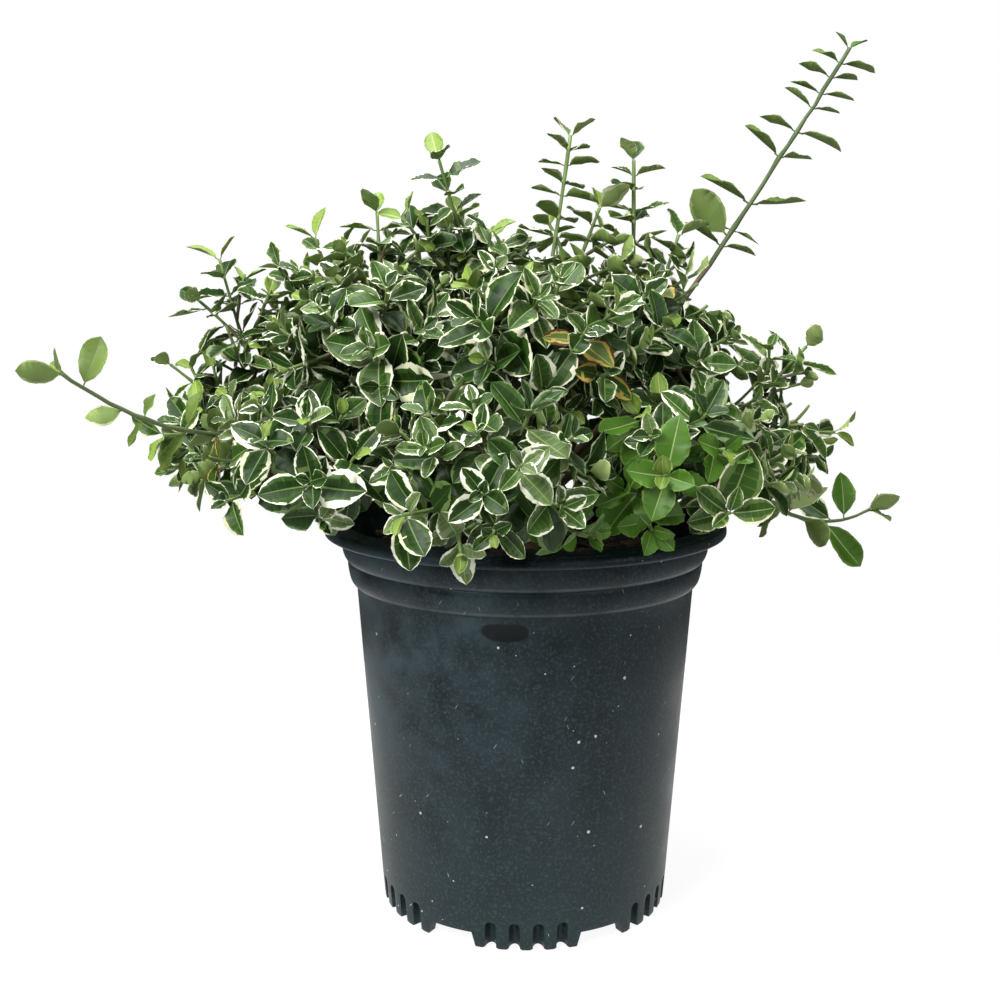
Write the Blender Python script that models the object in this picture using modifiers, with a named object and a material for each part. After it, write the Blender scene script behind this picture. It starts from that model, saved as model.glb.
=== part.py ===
# Wintercreeper euonymus growing in its ribbed nursery pot.
# Metres, +Z up, the camera side faces -Y, the pot's axis is the Z axis.
import math
import random

import bmesh
import bpy
from mathutils import Vector
from mathutils.bvhtree import BVHTree

# Pot: heights are above the ground, radii are of the outer face
RIM_RADIUS = 0.115
RIM_TOP = 0.2255
RIM_UNDERSIDE = 0.2177
UPPER_COLLAR_RADII = (0.1056, 0.1022)
UPPER_COLLAR_FOOT = 0.2036
LOWER_COLLAR_RADII = (0.1018, 0.0986)
LOWER_COLLAR_FOOT = 0.1896
WALL_TOP_RADIUS = 0.0969
FOOT_RADIUS = 0.0833
WALL_THICKNESS = 0.0018
COLLAR_STEP = 0.0016
COLLAR_GROOVE = 0.0006
FLOOR_UNDERSIDE = 0.0094
FLOOR_TOP = 0.0124
FOOT_RING_WIDTH = 0.0078
FOOT_RING_TOP = 0.0225
TURNED_STEPS = 36

# Feet of the pot: six fluted lugs round the bottom edge
LUG_COUNT = 6
LUG_GAP_HEIGHT = 0.0084
LUG_GAP_WIDTHS = (0.0315, 0.0265)
LUG_GAP_REACH = 0.024
CUTTER_OVERRUN = 0.002
FLUTE_ANGLES = (-13.5, -4.5, 4.5, 13.5)
FLUTE_WIDTH = 0.0062
FLUTE_TOP = 0.0160
FLUTE_DEPTH = 0.0046

# Potting mix and the short stem that stands on it
SOIL_LEVEL = 0.208
SOIL_EDGE = (0.010, 0.003)
STEM_TOP = 0.254
STEM_SHARES = (0.0, 0.14, 0.32, 0.90, 1.0)
STEM_RADII = (0.0125, 0.0095, 0.0082, 0.0076, 0.0068)
STEM_LEAN = 0.0025
CLEARANCE = 0.0003
MIX_CLEARANCE = 0.0004

# Crown: rings of foliage masses round a centre that leans to the left
CROWN_LEAN = -0.018
CROWN_HEART = 0.250
SKIRT = {"count": 8, "turn": 0.0, "distance": 0.123, "height": 0.264, "radii": (0.073, 0.052)}
SHOULDER = {"count": 6, "turn": 45.0, "distance": 0.080, "height": 0.315, "radii": (0.070, 0.061)}
CROWN_TOP = {"height": 0.330, "radii": (0.062, 0.062)}
CORE_SHARES = (0.60, 0.52, 0.44, 0.36, 0.28)
CORE_CLEARANCE = 0.0035
CORE_LEAST = 0.004
CELL_MARGIN = 0.035
LEAF_MARGIN = 0.012
LEAF_OVERREACH = 1.10
SPRIG_STAND_OFF = 1.02
MARCH_STEP = 0.002
RIM_ZONE = (0.0965, 0.1185, 0.2285)
SOIL_ZONE = 0.2115

# Boughs
BOUGH_RADII = (0.0027, 0.0017)
RUNNER_BOUGH_RADII = (0.0027, 0.0019)
BOUGH_SHARE = 0.50
BOUGH_STUB = 0.004
BOUGH_SWEEP = 0.35
BOUGH_RISE = 0.003
LEADER_RISE = 0.015
BOUGH_LEVELS = {"skirt": 0.2300, "shoulder": 0.2375}

# Twigs and leaves, a little larger than life
TWIG_COUNT = 7
TWIG_FAN = 11
TWIG_LOWEST = -0.85
TWIG_INWARD = -0.15
TWIG_LEAST = 0.016
TWIG_ARCH = 0.003
TIP_ROOM = 0.30
ROLL_TRIES = 3
ROLL_JITTER = 0.20
RISE_JITTER = 8.0
LENGTH_RANGE = (0.90, 1.08)
RETRY_SHRINK = 0.08
ROOT_JITTER = 0.02
SKIN_GAP = 0.0006
TWIG_RADII = (0.0019, 0.0012)
MASS_STEM_RADII = (0.0020, 0.0017)
STEM_STRAIGHT = 0.007
LEAF_LENGTH = 0.046
LEAF_BREADTH = 0.62
LEAF_WIDEST = 0.48
LEAF_THICKNESS = 0.022
LEAF_FOLD = 0.07
LEAF_DROOP = 0.08
LEAF_SUNK = 0.0003
BLADE_START = 0.30
PAIR_RISE = (62.0, 30.0, 8.0)
PAIR_SIZE = (0.78, 1.0, 1.0)
PAIR_PLACE = (0.985, 0.86, 0.60)
SHOOT_STEPS = 3
GOLDEN_TURN = math.pi * (3.0 - math.sqrt(5.0))
SEED = 11

RUNNER_RADII = (0.0018, 0.0009)
SHOOT_RISE = (12.0, 57.0)
PAIR_CROWDING = 0.85
# Long shoots that stand clear of the dome, each with its own bough.
# start is the bough's tip, bend is how far the middle lies above the straight line.
RUNNERS = (
    {"name": "tall_shoot", "level": 0.2510, "start": (0.072, 0.018, 0.318), "tip": (0.190, 0.055, 0.493),
     "bend": 0.0, "pairs": 9, "bare": 0.34, "leaf": (0.028, 0.017)},
    {"name": "left_runner", "level": 0.2460, "start": (-0.112, -0.052, 0.285), "tip": (-0.2226, -0.128, 0.317),
     "bend": -0.018, "pairs": 5, "bare": 0.42, "leaf": (0.026, 0.025)},
    {"name": "right_runner", "level": 0.2445, "start": (0.106, 0.040, 0.262), "tip": (0.2205, 0.079, 0.2155),
     "bend": -0.024, "pairs": 6, "bare": 0.35, "leaf": (0.034, 0.026)},
    {"name": "back_runner", "level": 0.2460, "start": (0.010, 0.092, 0.288), "tip": (0.030, 0.160, 0.345),
     "bend": 0.006, "pairs": 5, "bare": 0.30, "leaf": (0.030, 0.022)},
)

# Short shoots that rise out of a mass past the dome: tip, number of pairs and leaf length
SPRIG_BEND = 0.003
SPRIG_BARE = 0.50
SPRIG_RADII = (0.0017, 0.0009)
SPRIGS = {
    "crown_top": (((-0.047, -0.022, 0.420), 4, 0.023),),
    "shoulder_285": (((0.024, -0.010, 0.433), 6, 0.023),),
    "shoulder_345": (((0.060, 0.004, 0.422), 5, 0.023),),
    "shoulder_225": (((-0.080, -0.030, 0.388), 3, 0.024),),
    "shoulder_165": (((-0.119, 0.010, 0.374), 3, 0.026),),
    "skirt_180": (((-0.174, 0.004, 0.362), 4, 0.030), ((-0.198, -0.012, 0.312), 3, 0.024)),
    "skirt_0": (((0.160, 0.006, 0.322), 4, 0.030), ((0.174, -0.012, 0.275), 3, 0.024)),
    "skirt_90": (((0.010, 0.168, 0.322), 3, 0.030),),
    "skirt_135": (((-0.120, 0.140, 0.322), 3, 0.030),),
    "skirt_45": (((0.115, 0.128, 0.322), 3, 0.030),),
}

UP = Vector((0.0, 0.0, 1.0))
UPRIGHT = 0.9

COLOURS = {
    "pot_plastic": ((0.020, 0.032, 0.034, 1.0), 0.48),
    "potting_mix": ((0.035, 0.022, 0.014, 1.0), 0.95),
    "bark": ((0.150, 0.110, 0.065, 1.0), 0.80),
    "leaf_green": ((0.060, 0.130, 0.040, 1.0), 0.45),
    "shoot_green": ((0.120, 0.210, 0.050, 1.0), 0.45),
}


# Scene and materials

def clear_scene():
    for old in list(bpy.data.objects):
        bpy.data.objects.remove(old, do_unlink=True)


def new_collection(name):
    made = bpy.data.collections.new(name)
    bpy.context.scene.collection.children.link(made)
    return made


def new_material(name):
    colour, roughness = COLOURS[name]
    made = bpy.data.materials.new(name)
    made.use_nodes = True
    shader = made.node_tree.nodes["Principled BSDF"]
    shader.inputs["Base Color"].default_value = colour
    shader.inputs["Roughness"].default_value = roughness
    shader.inputs["Metallic"].default_value = 0.0
    made.diffuse_color = colour
    return made


def new_object(name, mesh, collection, material=None):
    made = bpy.data.objects.new(name, mesh)
    if material is not None:
        made.data.materials.append(material)
    collection.objects.link(made)
    return made


def mesh_from(name, verts, faces):
    mesh = bpy.data.meshes.new(name)
    mesh.from_pydata([tuple(v) for v in verts], [], faces)
    mesh.update()
    return mesh


def evaluated_mesh(source):
    graph = bpy.context.evaluated_depsgraph_get()
    graph.update()
    return bpy.data.meshes.new_from_object(source.evaluated_get(graph))


def drop_object(gone):
    data = gone.data
    bpy.data.objects.remove(gone, do_unlink=True)
    if isinstance(data, bpy.types.Mesh):
        bpy.data.meshes.remove(data)
    elif isinstance(data, bpy.types.Curve):
        bpy.data.curves.remove(data)


# Pot

def wall_radius(z):
    return FOOT_RADIUS + (WALL_TOP_RADIUS - FOOT_RADIUS) * z / LOWER_COLLAR_FOOT


def collar(radii, top, foot, steps=3):
    # convex band: it starts nearly upright and curls in towards its lower edge
    points = []
    for k in range(steps + 1):
        share = k / steps
        radius = radii[0] + (radii[1] - radii[0]) * share ** 2
        points.append((radius, top + (foot - top) * share))
    return points


def inner_wall():
    # inside face from the floor's corner up to the lip
    ring_inner = wall_radius(FLOOR_TOP) - FOOT_RING_WIDTH
    return [
        (ring_inner, FLOOR_TOP),
        (ring_inner, FOOT_RING_TOP),
        (wall_radius(FOOT_RING_TOP) - WALL_THICKNESS, FOOT_RING_TOP + 0.005),
        (wall_radius(LOWER_COLLAR_FOOT) - WALL_THICKNESS, LOWER_COLLAR_FOOT),
        (LOWER_COLLAR_RADII[1] - WALL_THICKNESS, LOWER_COLLAR_FOOT + COLLAR_STEP),
        (LOWER_COLLAR_RADII[0] - WALL_THICKNESS, UPPER_COLLAR_FOOT),
        (UPPER_COLLAR_RADII[1] - WALL_THICKNESS, UPPER_COLLAR_FOOT + COLLAR_STEP),
        (UPPER_COLLAR_RADII[0] - WALL_THICKNESS, RIM_TOP - 0.0035),
    ]


def lip():
    # rolled edge: inner bead, groove, outer shoulder and the turned-down edge
    inner = UPPER_COLLAR_RADII[0] - WALL_THICKNESS
    return [
        (inner + 0.0008, RIM_TOP - 0.0010),
        (inner + 0.0024, RIM_TOP),
        (inner + 0.0044, RIM_TOP - 0.0010),
        (inner + 0.0062, RIM_TOP - 0.0007),
        (RIM_RADIUS - 0.0020, RIM_TOP - 0.0022),
        (RIM_RADIUS, RIM_TOP - 0.0048),
        (RIM_RADIUS, RIM_UNDERSIDE + 0.0006),
        (RIM_RADIUS - 0.0012, RIM_UNDERSIDE),
        (RIM_RADIUS - 0.0024, RIM_UNDERSIDE + 0.0014),
        (UPPER_COLLAR_RADII[0] + 0.0006, RIM_UNDERSIDE + 0.0014),
    ]


def outer_wall():
    upper = collar(UPPER_COLLAR_RADII, RIM_UNDERSIDE + COLLAR_GROOVE, UPPER_COLLAR_FOOT)
    lower = collar(LOWER_COLLAR_RADII, UPPER_COLLAR_FOOT - COLLAR_GROOVE, LOWER_COLLAR_FOOT)
    wall_top = LOWER_COLLAR_FOOT - COLLAR_GROOVE
    return upper + lower + [(wall_radius(wall_top), wall_top), (FOOT_RADIUS, 0.0)]


def pot_profile():
    ring_inner = FOOT_RADIUS - FOOT_RING_WIDTH + 0.0010
    underside = [(ring_inner, 0.0), (ring_inner, FLOOR_UNDERSIDE), (0.0, FLOOR_UNDERSIDE)]
    return [(0.0, FLOOR_TOP)] + inner_wall() + lip() + outer_wall() + underside


def turned(name, profile, steps, collection, material):
    verts = [(radius, 0.0, z) for radius, z in profile]
    edges = [(k, k + 1) for k in range(len(verts) - 1)]
    mesh = bpy.data.meshes.new(name)
    mesh.from_pydata(verts, edges, [])
    made = new_object(name, mesh, collection, material)
    screw = made.modifiers.new("turned", "SCREW")
    screw.axis = "Z"
    screw.angle = math.tau
    screw.steps = steps
    screw.render_steps = steps
    screw.use_merge_vertices = True
    screw.merge_threshold = 0.00001
    screw.use_smooth_shade = True
    return made


def gap_cutter_mesh():
    # wedge between two lugs, wider at the ground
    bm = bmesh.new()
    bmesh.ops.create_cube(bm, size=1.0)
    for vert in bm.verts:
        low = vert.co.z < 0.0
        width = LUG_GAP_WIDTHS[0] if low else LUG_GAP_WIDTHS[1]
        vert.co.x *= LUG_GAP_REACH
        vert.co.y *= width
        vert.co.z = -CUTTER_OVERRUN if low else LUG_GAP_HEIGHT
    mesh = bpy.data.meshes.new("lug_gap")
    bm.to_mesh(mesh)
    bm.free()
    return mesh


def flute_cutter_mesh():
    # upright slot with a round top, seen from outside
    bm = bmesh.new()
    half = FLUTE_WIDTH / 2
    springing = FLUTE_TOP - half
    outline = [(half, -CUTTER_OVERRUN), (half, springing)]
    arc_steps = 4
    for k in range(1, arc_steps):
        angle = math.pi * k / arc_steps
        outline.append((half * math.cos(angle), springing + half * math.sin(angle)))
    outline += [(-half, springing), (-half, -CUTTER_OVERRUN)]
    front = [bm.verts.new((0.0, y, z)) for y, z in outline]
    face = bm.faces.new(front)
    pushed = bmesh.ops.extrude_face_region(bm, geom=[face])
    moved = [item for item in pushed["geom"] if isinstance(item, bmesh.types.BMVert)]
    bmesh.ops.translate(bm, verts=moved, vec=(FLUTE_DEPTH * 2.5, 0.0, 0.0))
    bmesh.ops.recalc_face_normals(bm, faces=bm.faces)
    mesh = bpy.data.meshes.new("flute")
    bm.to_mesh(mesh)
    bm.free()
    return mesh


def build_pot(collection, cutters, material):
    pot = turned("pot", pot_profile(), TURNED_STEPS, collection, material)
    gap_mesh = gap_cutter_mesh()
    flute_mesh = flute_cutter_mesh()
    lug_turn = 360.0 / LUG_COUNT
    places = []
    for group in range(LUG_COUNT):
        centre = -90.0 + group * lug_turn
        places.append((gap_mesh, centre + lug_turn / 2, FOOT_RADIUS - FOOT_RING_WIDTH / 2))
        for angle in FLUTE_ANGLES:
            places.append((flute_mesh, centre + angle, FOOT_RADIUS - FLUTE_DEPTH))
    for mesh, angle, radius in places:
        cutter = new_object(mesh.name + "_cutter", mesh, cutters)
        turn = math.radians(angle)
        cutter.location = (radius * math.cos(turn), radius * math.sin(turn), 0.0)
        cutter.rotation_euler = (0.0, 0.0, turn)
        cutter.hide_render = True
        cutter.display_type = "WIRE"
    cut = pot.modifiers.new("lugs and flutes", "BOOLEAN")
    cut.operation = "DIFFERENCE"
    cut.operand_type = "COLLECTION"
    cut.collection = cutters
    return pot


def build_potting_mix(collection, material):
    edge_width, edge_drop = SOIL_EDGE
    edge_level = SOIL_LEVEL - edge_drop
    below = [(radius - MIX_CLEARANCE, z) for radius, z in inner_wall() if z < edge_level]
    below[0] = (below[0][0], FLOOR_TOP + CLEARANCE)
    edge_radius = below[-1][0]
    top = [(0.0, SOIL_LEVEL), (edge_radius - edge_width, SOIL_LEVEL), (edge_radius, edge_level)]
    profile = top + below[::-1] + [(0.0, FLOOR_TOP + CLEARANCE)]
    return turned("potting_mix", profile, TURNED_STEPS, collection, material)


# Stem and boughs

def limb(name, points, radii, resolution, collection, material):
    curve = bpy.data.curves.new(name, "CURVE")
    curve.dimensions = "3D"
    curve.bevel_depth = 1.0
    curve.bevel_resolution = resolution
    curve.use_fill_caps = True
    spline = curve.splines.new("POLY")
    spline.points.add(len(points) - 1)
    for target, place, radius in zip(spline.points, points, radii):
        target.co = (*place, 1.0)
        target.radius = radius
    holder = new_object(name + "_line", curve, collection)
    mesh = evaluated_mesh(holder)
    drop_object(holder)
    bm = bmesh.new()
    bm.from_mesh(mesh)
    bmesh.ops.remove_doubles(bm, verts=bm.verts, dist=0.00001)
    bmesh.ops.recalc_face_normals(bm, faces=bm.faces)
    bm.to_mesh(mesh)
    bm.free()
    mesh.materials.clear()
    mesh.shade_smooth()
    mesh.set_sharp_from_angle(angle=math.radians(60.0))
    return new_object(name, mesh, collection, material)


def arc_points(start, middle, end, steps):
    # quadratic curve from start to end, drawn towards middle
    points = []
    for k in range(steps + 1):
        t = k / steps
        points.append(start * (1 - t) ** 2 + middle * (2 * t * (1 - t)) + end * t ** 2)
    return points


def tapered(radii, steps):
    return [radii[0] + (radii[1] - radii[0]) * k / steps for k in range(steps + 1)]


def stem_axis(z):
    share = (z - SOIL_LEVEL) / (STEM_TOP - SOIL_LEVEL)
    return Vector((-STEM_LEAN * share, 0.0, z))


def stem_radius(z):
    share = (z - SOIL_LEVEL) / (STEM_TOP - SOIL_LEVEL)
    for k in range(1, len(STEM_SHARES)):
        if share <= STEM_SHARES[k]:
            part = (share - STEM_SHARES[k - 1]) / (STEM_SHARES[k] - STEM_SHARES[k - 1])
            return STEM_RADII[k - 1] + (STEM_RADII[k] - STEM_RADII[k - 1]) * part
    return STEM_RADII[-1]


def build_stem(collection, material):
    height = STEM_TOP - SOIL_LEVEL - CLEARANCE
    points = []
    for share in STEM_SHARES:
        z = SOIL_LEVEL + CLEARANCE + height * share
        axis = stem_axis(z)
        lean = 0.0 if share < 0.2 else axis.x
        points.append(Vector((lean, 0.0, z)))
    return limb("main_stem", points, STEM_RADII, 4, collection, material)


def bough_points(level, tip, steps=3):
    # leaves the stem square to its side, then bends towards its mass
    outward = Vector((tip.x, tip.y, 0.0)).normalized()
    axis = stem_axis(level)
    start = axis + outward * (stem_radius(level) + CLEARANCE)
    first = start + outward * BOUGH_STUB
    middle = start + outward * (BOUGH_SWEEP * (tip - start).length) + UP * BOUGH_RISE
    return [start] + arc_points(first, middle, tip, steps)


# Spaces of the masses

def polar(azimuth, distance, height):
    turn = math.radians(azimuth)
    return Vector((CROWN_LEAN + distance * math.cos(turn), distance * math.sin(turn), height))


def list_masses():
    masses = []
    for kind, ring in (("skirt", SKIRT), ("shoulder", SHOULDER)):
        for k in range(ring["count"]):
            azimuth = ring["turn"] + 360.0 * k / ring["count"]
            masses.append({
                "name": f"{kind}_{azimuth:.0f}", "kind": kind,
                "centre": polar(azimuth, ring["distance"], ring["height"]), "radii": ring["radii"],
            })
    masses.append({
        "name": "crown_top", "kind": "top",
        "centre": polar(0.0, 0.0, CROWN_TOP["height"]), "radii": CROWN_TOP["radii"],
    })
    return masses


def spread(mass, place):
    # distance from the mass's centre as a share of its reach in that direction
    offset = place - mass["centre"]
    flat, tall = mass["radii"]
    return math.sqrt((offset.x ** 2 + offset.y ** 2) / flat ** 2 + offset.z ** 2 / tall ** 2)


def in_pot_zone(place):
    # the rim and all below it, and the potting mix inside
    radius = math.hypot(place.x, place.y)
    if radius < RIM_ZONE[0]:
        return place.z < SOIL_ZONE
    return radius < RIM_ZONE[1] and place.z < RIM_ZONE[2]


def in_space(mass, masses, place, limit=1.0, margin=CELL_MARGIN):
    own = spread(mass, place)
    if own > limit or in_pot_zone(place):
        return False
    return all(own < spread(other, place) - margin for other in masses if other is not mass)


def reach_along(mass, masses, origin, direction):
    distance = 0.0
    while in_space(mass, masses, origin + direction * (distance + MARCH_STEP)):
        distance += MARCH_STEP
    return distance


# Twigs and leaves as closed pieces (vertices, faces)

def side_of(along):
    helper = UP if abs(along.z) < UPRIGHT else Vector((1.0, 0.0, 0.0))
    return along.cross(helper).normalized()


def twig_piece(points, radii):
    # three-sided tapering loft
    verts = []
    faces = []
    side = None
    for k, place in enumerate(points):
        before = points[max(k - 1, 0)]
        after = points[min(k + 1, len(points) - 1)]
        along = (after - before).normalized()
        side = side_of(along) if side is None else (side - along * side.dot(along)).normalized()
        lift = along.cross(side)
        for corner in range(3):
            angle = math.tau * corner / 3
            verts.append(place + (side * math.cos(angle) + lift * math.sin(angle)) * radii[k])
    for k in range(len(points) - 1):
        for corner in range(3):
            a = 3 * k + corner
            b = 3 * k + (corner + 1) % 3
            faces.append((a, b, b + 3, a + 3))
    faces.append((2, 1, 0))
    last = 3 * (len(points) - 1)
    faces.append((last, last + 1, last + 2))
    return verts, faces


def leaf_piece(root, along, face, length, swell=0.0):
    # thin folded diamond with a ridge point above and below its middle
    side = face.cross(along).normalized()
    widest = root + along * (LEAF_WIDEST * length)
    half = side * (LEAF_BREADTH * length / 2 + swell)
    fold = face * (LEAF_FOLD * length)
    lift = face * (LEAF_THICKNESS * length / 2 + swell)
    tip = root + along * (length + swell) - face * (LEAF_DROOP * length)
    verts = [root - along * LEAF_SUNK, widest + half + fold, tip, widest - half + fold,
             widest + lift, widest - lift]
    faces = [(0, 3, 4), (3, 2, 4), (2, 1, 4), (1, 0, 4), (3, 0, 5), (2, 3, 5), (1, 2, 5), (0, 1, 5)]
    return verts, faces


def tree_of(pieces):
    verts = []
    faces = []
    for piece_verts, piece_faces in pieces:
        start = len(verts)
        verts += piece_verts
        faces += [tuple(start + v for v in face) for face in piece_faces]
    return BVHTree.FromPolygons([tuple(v) for v in verts], faces)


def touches(piece, trees):
    own = tree_of([piece])
    return any(own.overlap(tree) for tree in trees)


def leaf_place(points, place):
    # point and heading at a share of the way along a twig
    spot = place * (len(points) - 1)
    k = min(int(spot), len(points) - 2)
    along = (points[k + 1] - points[k]).normalized()
    return points[k].lerp(points[k + 1], spot - k), along


def grow_leaf(root, along, turn, rise, length, allowed, trees, blades):
    # one leaf on the side that turn gives, or None where it has no room
    side = side_of(along)
    outward = side * math.cos(turn) + along.cross(side) * math.sin(turn)
    direction = outward * math.cos(rise) + along * math.sin(rise)
    face = along * math.cos(rise) - outward * math.sin(rise)
    piece = leaf_piece(root, direction, face, length)
    if not all(allowed(v) for v in piece[0][1:]):
        return None
    if touches(leaf_piece(root, direction, face, length, swell=SKIN_GAP), trees):
        return None
    start = BLADE_START * length
    blade = leaf_piece(root + direction * start, direction, face, length - start)
    if blades and touches(blade, [tree_of(blades)]):
        return None
    blades.append(blade)
    return piece


def grow_leaves(points, pairs, size, allowed, trees, rng, blades):
    # pairs is a list of (place along the twig, rise, share of the full leaf)
    grown = []
    base_turn = rng.uniform(0.0, math.tau)
    for place, rise, share in pairs:
        base_turn += math.pi / 2
        for half_turn in (0.0, math.pi):
            for attempt in range(ROLL_TRIES):
                root, along = leaf_place(points, place - rng.uniform(0.0, ROOT_JITTER))
                turn = base_turn + half_turn + rng.uniform(-ROLL_JITTER, ROLL_JITTER) * (1 + attempt)
                lean = math.radians(rise + rng.uniform(-RISE_JITTER, RISE_JITTER))
                length = size * share * rng.uniform(*LENGTH_RANGE) * (1.0 - RETRY_SHRINK * attempt)
                piece = grow_leaf(root, along, turn, lean, length, allowed, trees, blades)
                if piece is not None:
                    grown.append(piece)
                    break
    return grown


def core_piece(mass, masses, share, swell=0.0):
    # rounded block that keeps inside the mass's own cell
    bm = bmesh.new()
    bmesh.ops.create_icosphere(bm, subdivisions=1, radius=1.0)
    centre = mass["centre"]
    flat, tall = mass["radii"]
    for vert in bm.verts:
        direction = vert.co.normalized()
        free = reach_along(mass, masses, centre, direction)
        wanted = share / math.sqrt((direction.x ** 2 + direction.y ** 2) / flat ** 2
                                   + direction.z ** 2 / tall ** 2)
        distance = min(wanted, max(free - CORE_CLEARANCE, CORE_LEAST))
        vert.co = centre + direction * (distance + swell)
    piece = ([v.co.copy() for v in bm.verts], [tuple(v.index for v in f.verts) for f in bm.faces])
    bm.free()
    return piece


def fitted_core(mass, masses, trees):
    # the largest core that stays clear of limbs and long shoots
    for share in CORE_SHARES:
        if not touches(core_piece(mass, masses, share, swell=CORE_CLEARANCE / 2), trees):
            return [core_piece(mass, masses, share)]
    return []


def shoot_points(start, tip, bend):
    middle = (start + tip) / 2 + UP * (2 * bend)
    return arc_points(start, middle, tip, SHOOT_STEPS)


def shoot_pieces(points, pair_count, bare, leaf, radii, allowed, trees, rng, blades):
    # a long shoot: its bent stem with leaf pairs closing up towards the tip
    pieces = [twig_piece(points, tapered(radii, len(points) - 1))]
    pairs = []
    for k in range(pair_count):
        share = (k / (pair_count - 1)) ** PAIR_CROWDING
        size = 1.0 + (leaf[1] / leaf[0] - 1.0) * share
        rise = SHOOT_RISE[0] + (SHOOT_RISE[1] - SHOOT_RISE[0]) * share ** 3
        pairs.append((bare + (PAIR_PLACE[0] - bare) * share, rise, size))
    pieces += grow_leaves(points, pairs, leaf[0], allowed, trees, rng, blades)
    return pieces


def twig_directions(mass, rng):
    # a golden-angle fan from straight up downwards, without the sides that face the crown's heart
    outward = (mass["centre"] - Vector((CROWN_LEAN, 0.0, CROWN_HEART))).normalized()
    chosen = []
    for k in range(TWIG_FAN):
        height = 1.0 - 2.0 * (k + 0.5) / TWIG_FAN
        if height < TWIG_LOWEST or len(chosen) == TWIG_COUNT:
            break
        turn = GOLDEN_TURN * (k + rng.random())
        flat = math.sqrt(1.0 - height ** 2)
        direction = Vector((flat * math.cos(turn), flat * math.sin(turn), height))
        if direction.dot(outward) >= TWIG_INWARD:
            chosen.append(direction)
    return chosen


def mass_pieces(mass, masses, bough_end, trees, rng):
    # stem from the bough's tip to the middle, core, twigs with their leaf pairs, short shoots
    centre = mass["centre"]
    bough_tip, heading = bough_end
    stem_start = bough_tip + heading * CLEARANCE
    stem_bend = stem_start + heading * STEM_STRAIGHT
    stem_end = centre + (centre - stem_bend).normalized() * STEM_STRAIGHT
    pieces = [twig_piece([stem_start, stem_bend, stem_end], tapered(MASS_STEM_RADII, 2))]
    pieces += fitted_core(mass, masses, trees)

    def allowed(place):
        return in_space(mass, masses, place, LEAF_OVERREACH, LEAF_MARGIN)

    def clear_of_others(place):
        others = (spread(other, place) for other in masses if other is not mass)
        return not in_pot_zone(place) and (allowed(place) or min(others) > SPRIG_STAND_OFF)

    pairs = list(zip(PAIR_PLACE, PAIR_RISE, PAIR_SIZE))
    radii = tapered(TWIG_RADII, 2)
    blades = []
    for direction in twig_directions(mass, rng):
        length = reach_along(mass, masses, centre, direction) - TIP_ROOM * LEAF_LENGTH
        if length < TWIG_LEAST:
            continue
        end = centre + direction * length
        points = [centre, (centre + end) / 2 + UP * TWIG_ARCH, end]
        if touches(twig_piece(points, [radius + SKIN_GAP for radius in radii]), trees):
            continue
        pieces.append(twig_piece(points, radii))
        pieces += grow_leaves(points, pairs, LEAF_LENGTH, allowed, trees, rng, blades)

    for tip, pair_count, leaf in SPRIGS.get(mass["name"], ()):
        points = shoot_points(centre, Vector(tip), SPRIG_BEND)
        pieces += shoot_pieces(points, pair_count, SPRIG_BARE, (leaf * 1.1, leaf), SPRIG_RADII,
                               clear_of_others, trees, rng, blades)
    return pieces


def join_pieces(name, pieces, collection, material):
    # one union of the stem with everything that grows on it, scraps and sealed hollows dropped
    holder = new_collection(name + "_pieces")
    members = []
    for k, (verts, faces) in enumerate(pieces):
        home = collection if k == 0 else holder
        members.append(new_object(f"{name}_piece", mesh_from(f"{name}_piece", verts, faces), home))
    union = members[0].modifiers.new("fused", "BOOLEAN")
    union.operation = "UNION"
    union.operand_type = "COLLECTION"
    union.collection = holder
    mesh = evaluated_mesh(members[0])
    for member in members:
        drop_object(member)
    bpy.data.collections.remove(holder)
    bm = bmesh.new()
    bm.from_mesh(mesh)
    bmesh.ops.triangulate(bm, faces=bm.faces)
    keep_largest(bm)
    bm.to_mesh(mesh)
    bm.free()
    mesh.name = name
    mesh.materials.clear()
    return new_object(name, mesh, collection, material)


def keep_largest(bm):
    groups = []
    seen = set()
    for face in bm.faces:
        if face in seen:
            continue
        group = []
        queue = [face]
        seen.add(face)
        while queue:
            current = queue.pop()
            group.append(current)
            for edge in current.edges:
                for other in edge.link_faces:
                    if other not in seen:
                        seen.add(other)
                        queue.append(other)
        groups.append(group)
    if len(groups) < 2:
        return
    groups.sort(key=lambda group: abs(signed_volume(group)))
    for group in groups[:-1]:
        bmesh.ops.delete(bm, geom=group, context="FACES")


def signed_volume(faces):
    total = 0.0
    for face in faces:
        a, b, c = (loop.vert.co for loop in face.loops)
        total += a.dot(b.cross(c)) / 6.0
    return total


def piece_of(made):
    mesh = evaluated_mesh(made)
    piece = ([v.co.copy() for v in mesh.vertices], [tuple(f.vertices) for f in mesh.polygons])
    bpy.data.meshes.remove(mesh)
    return piece


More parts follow.
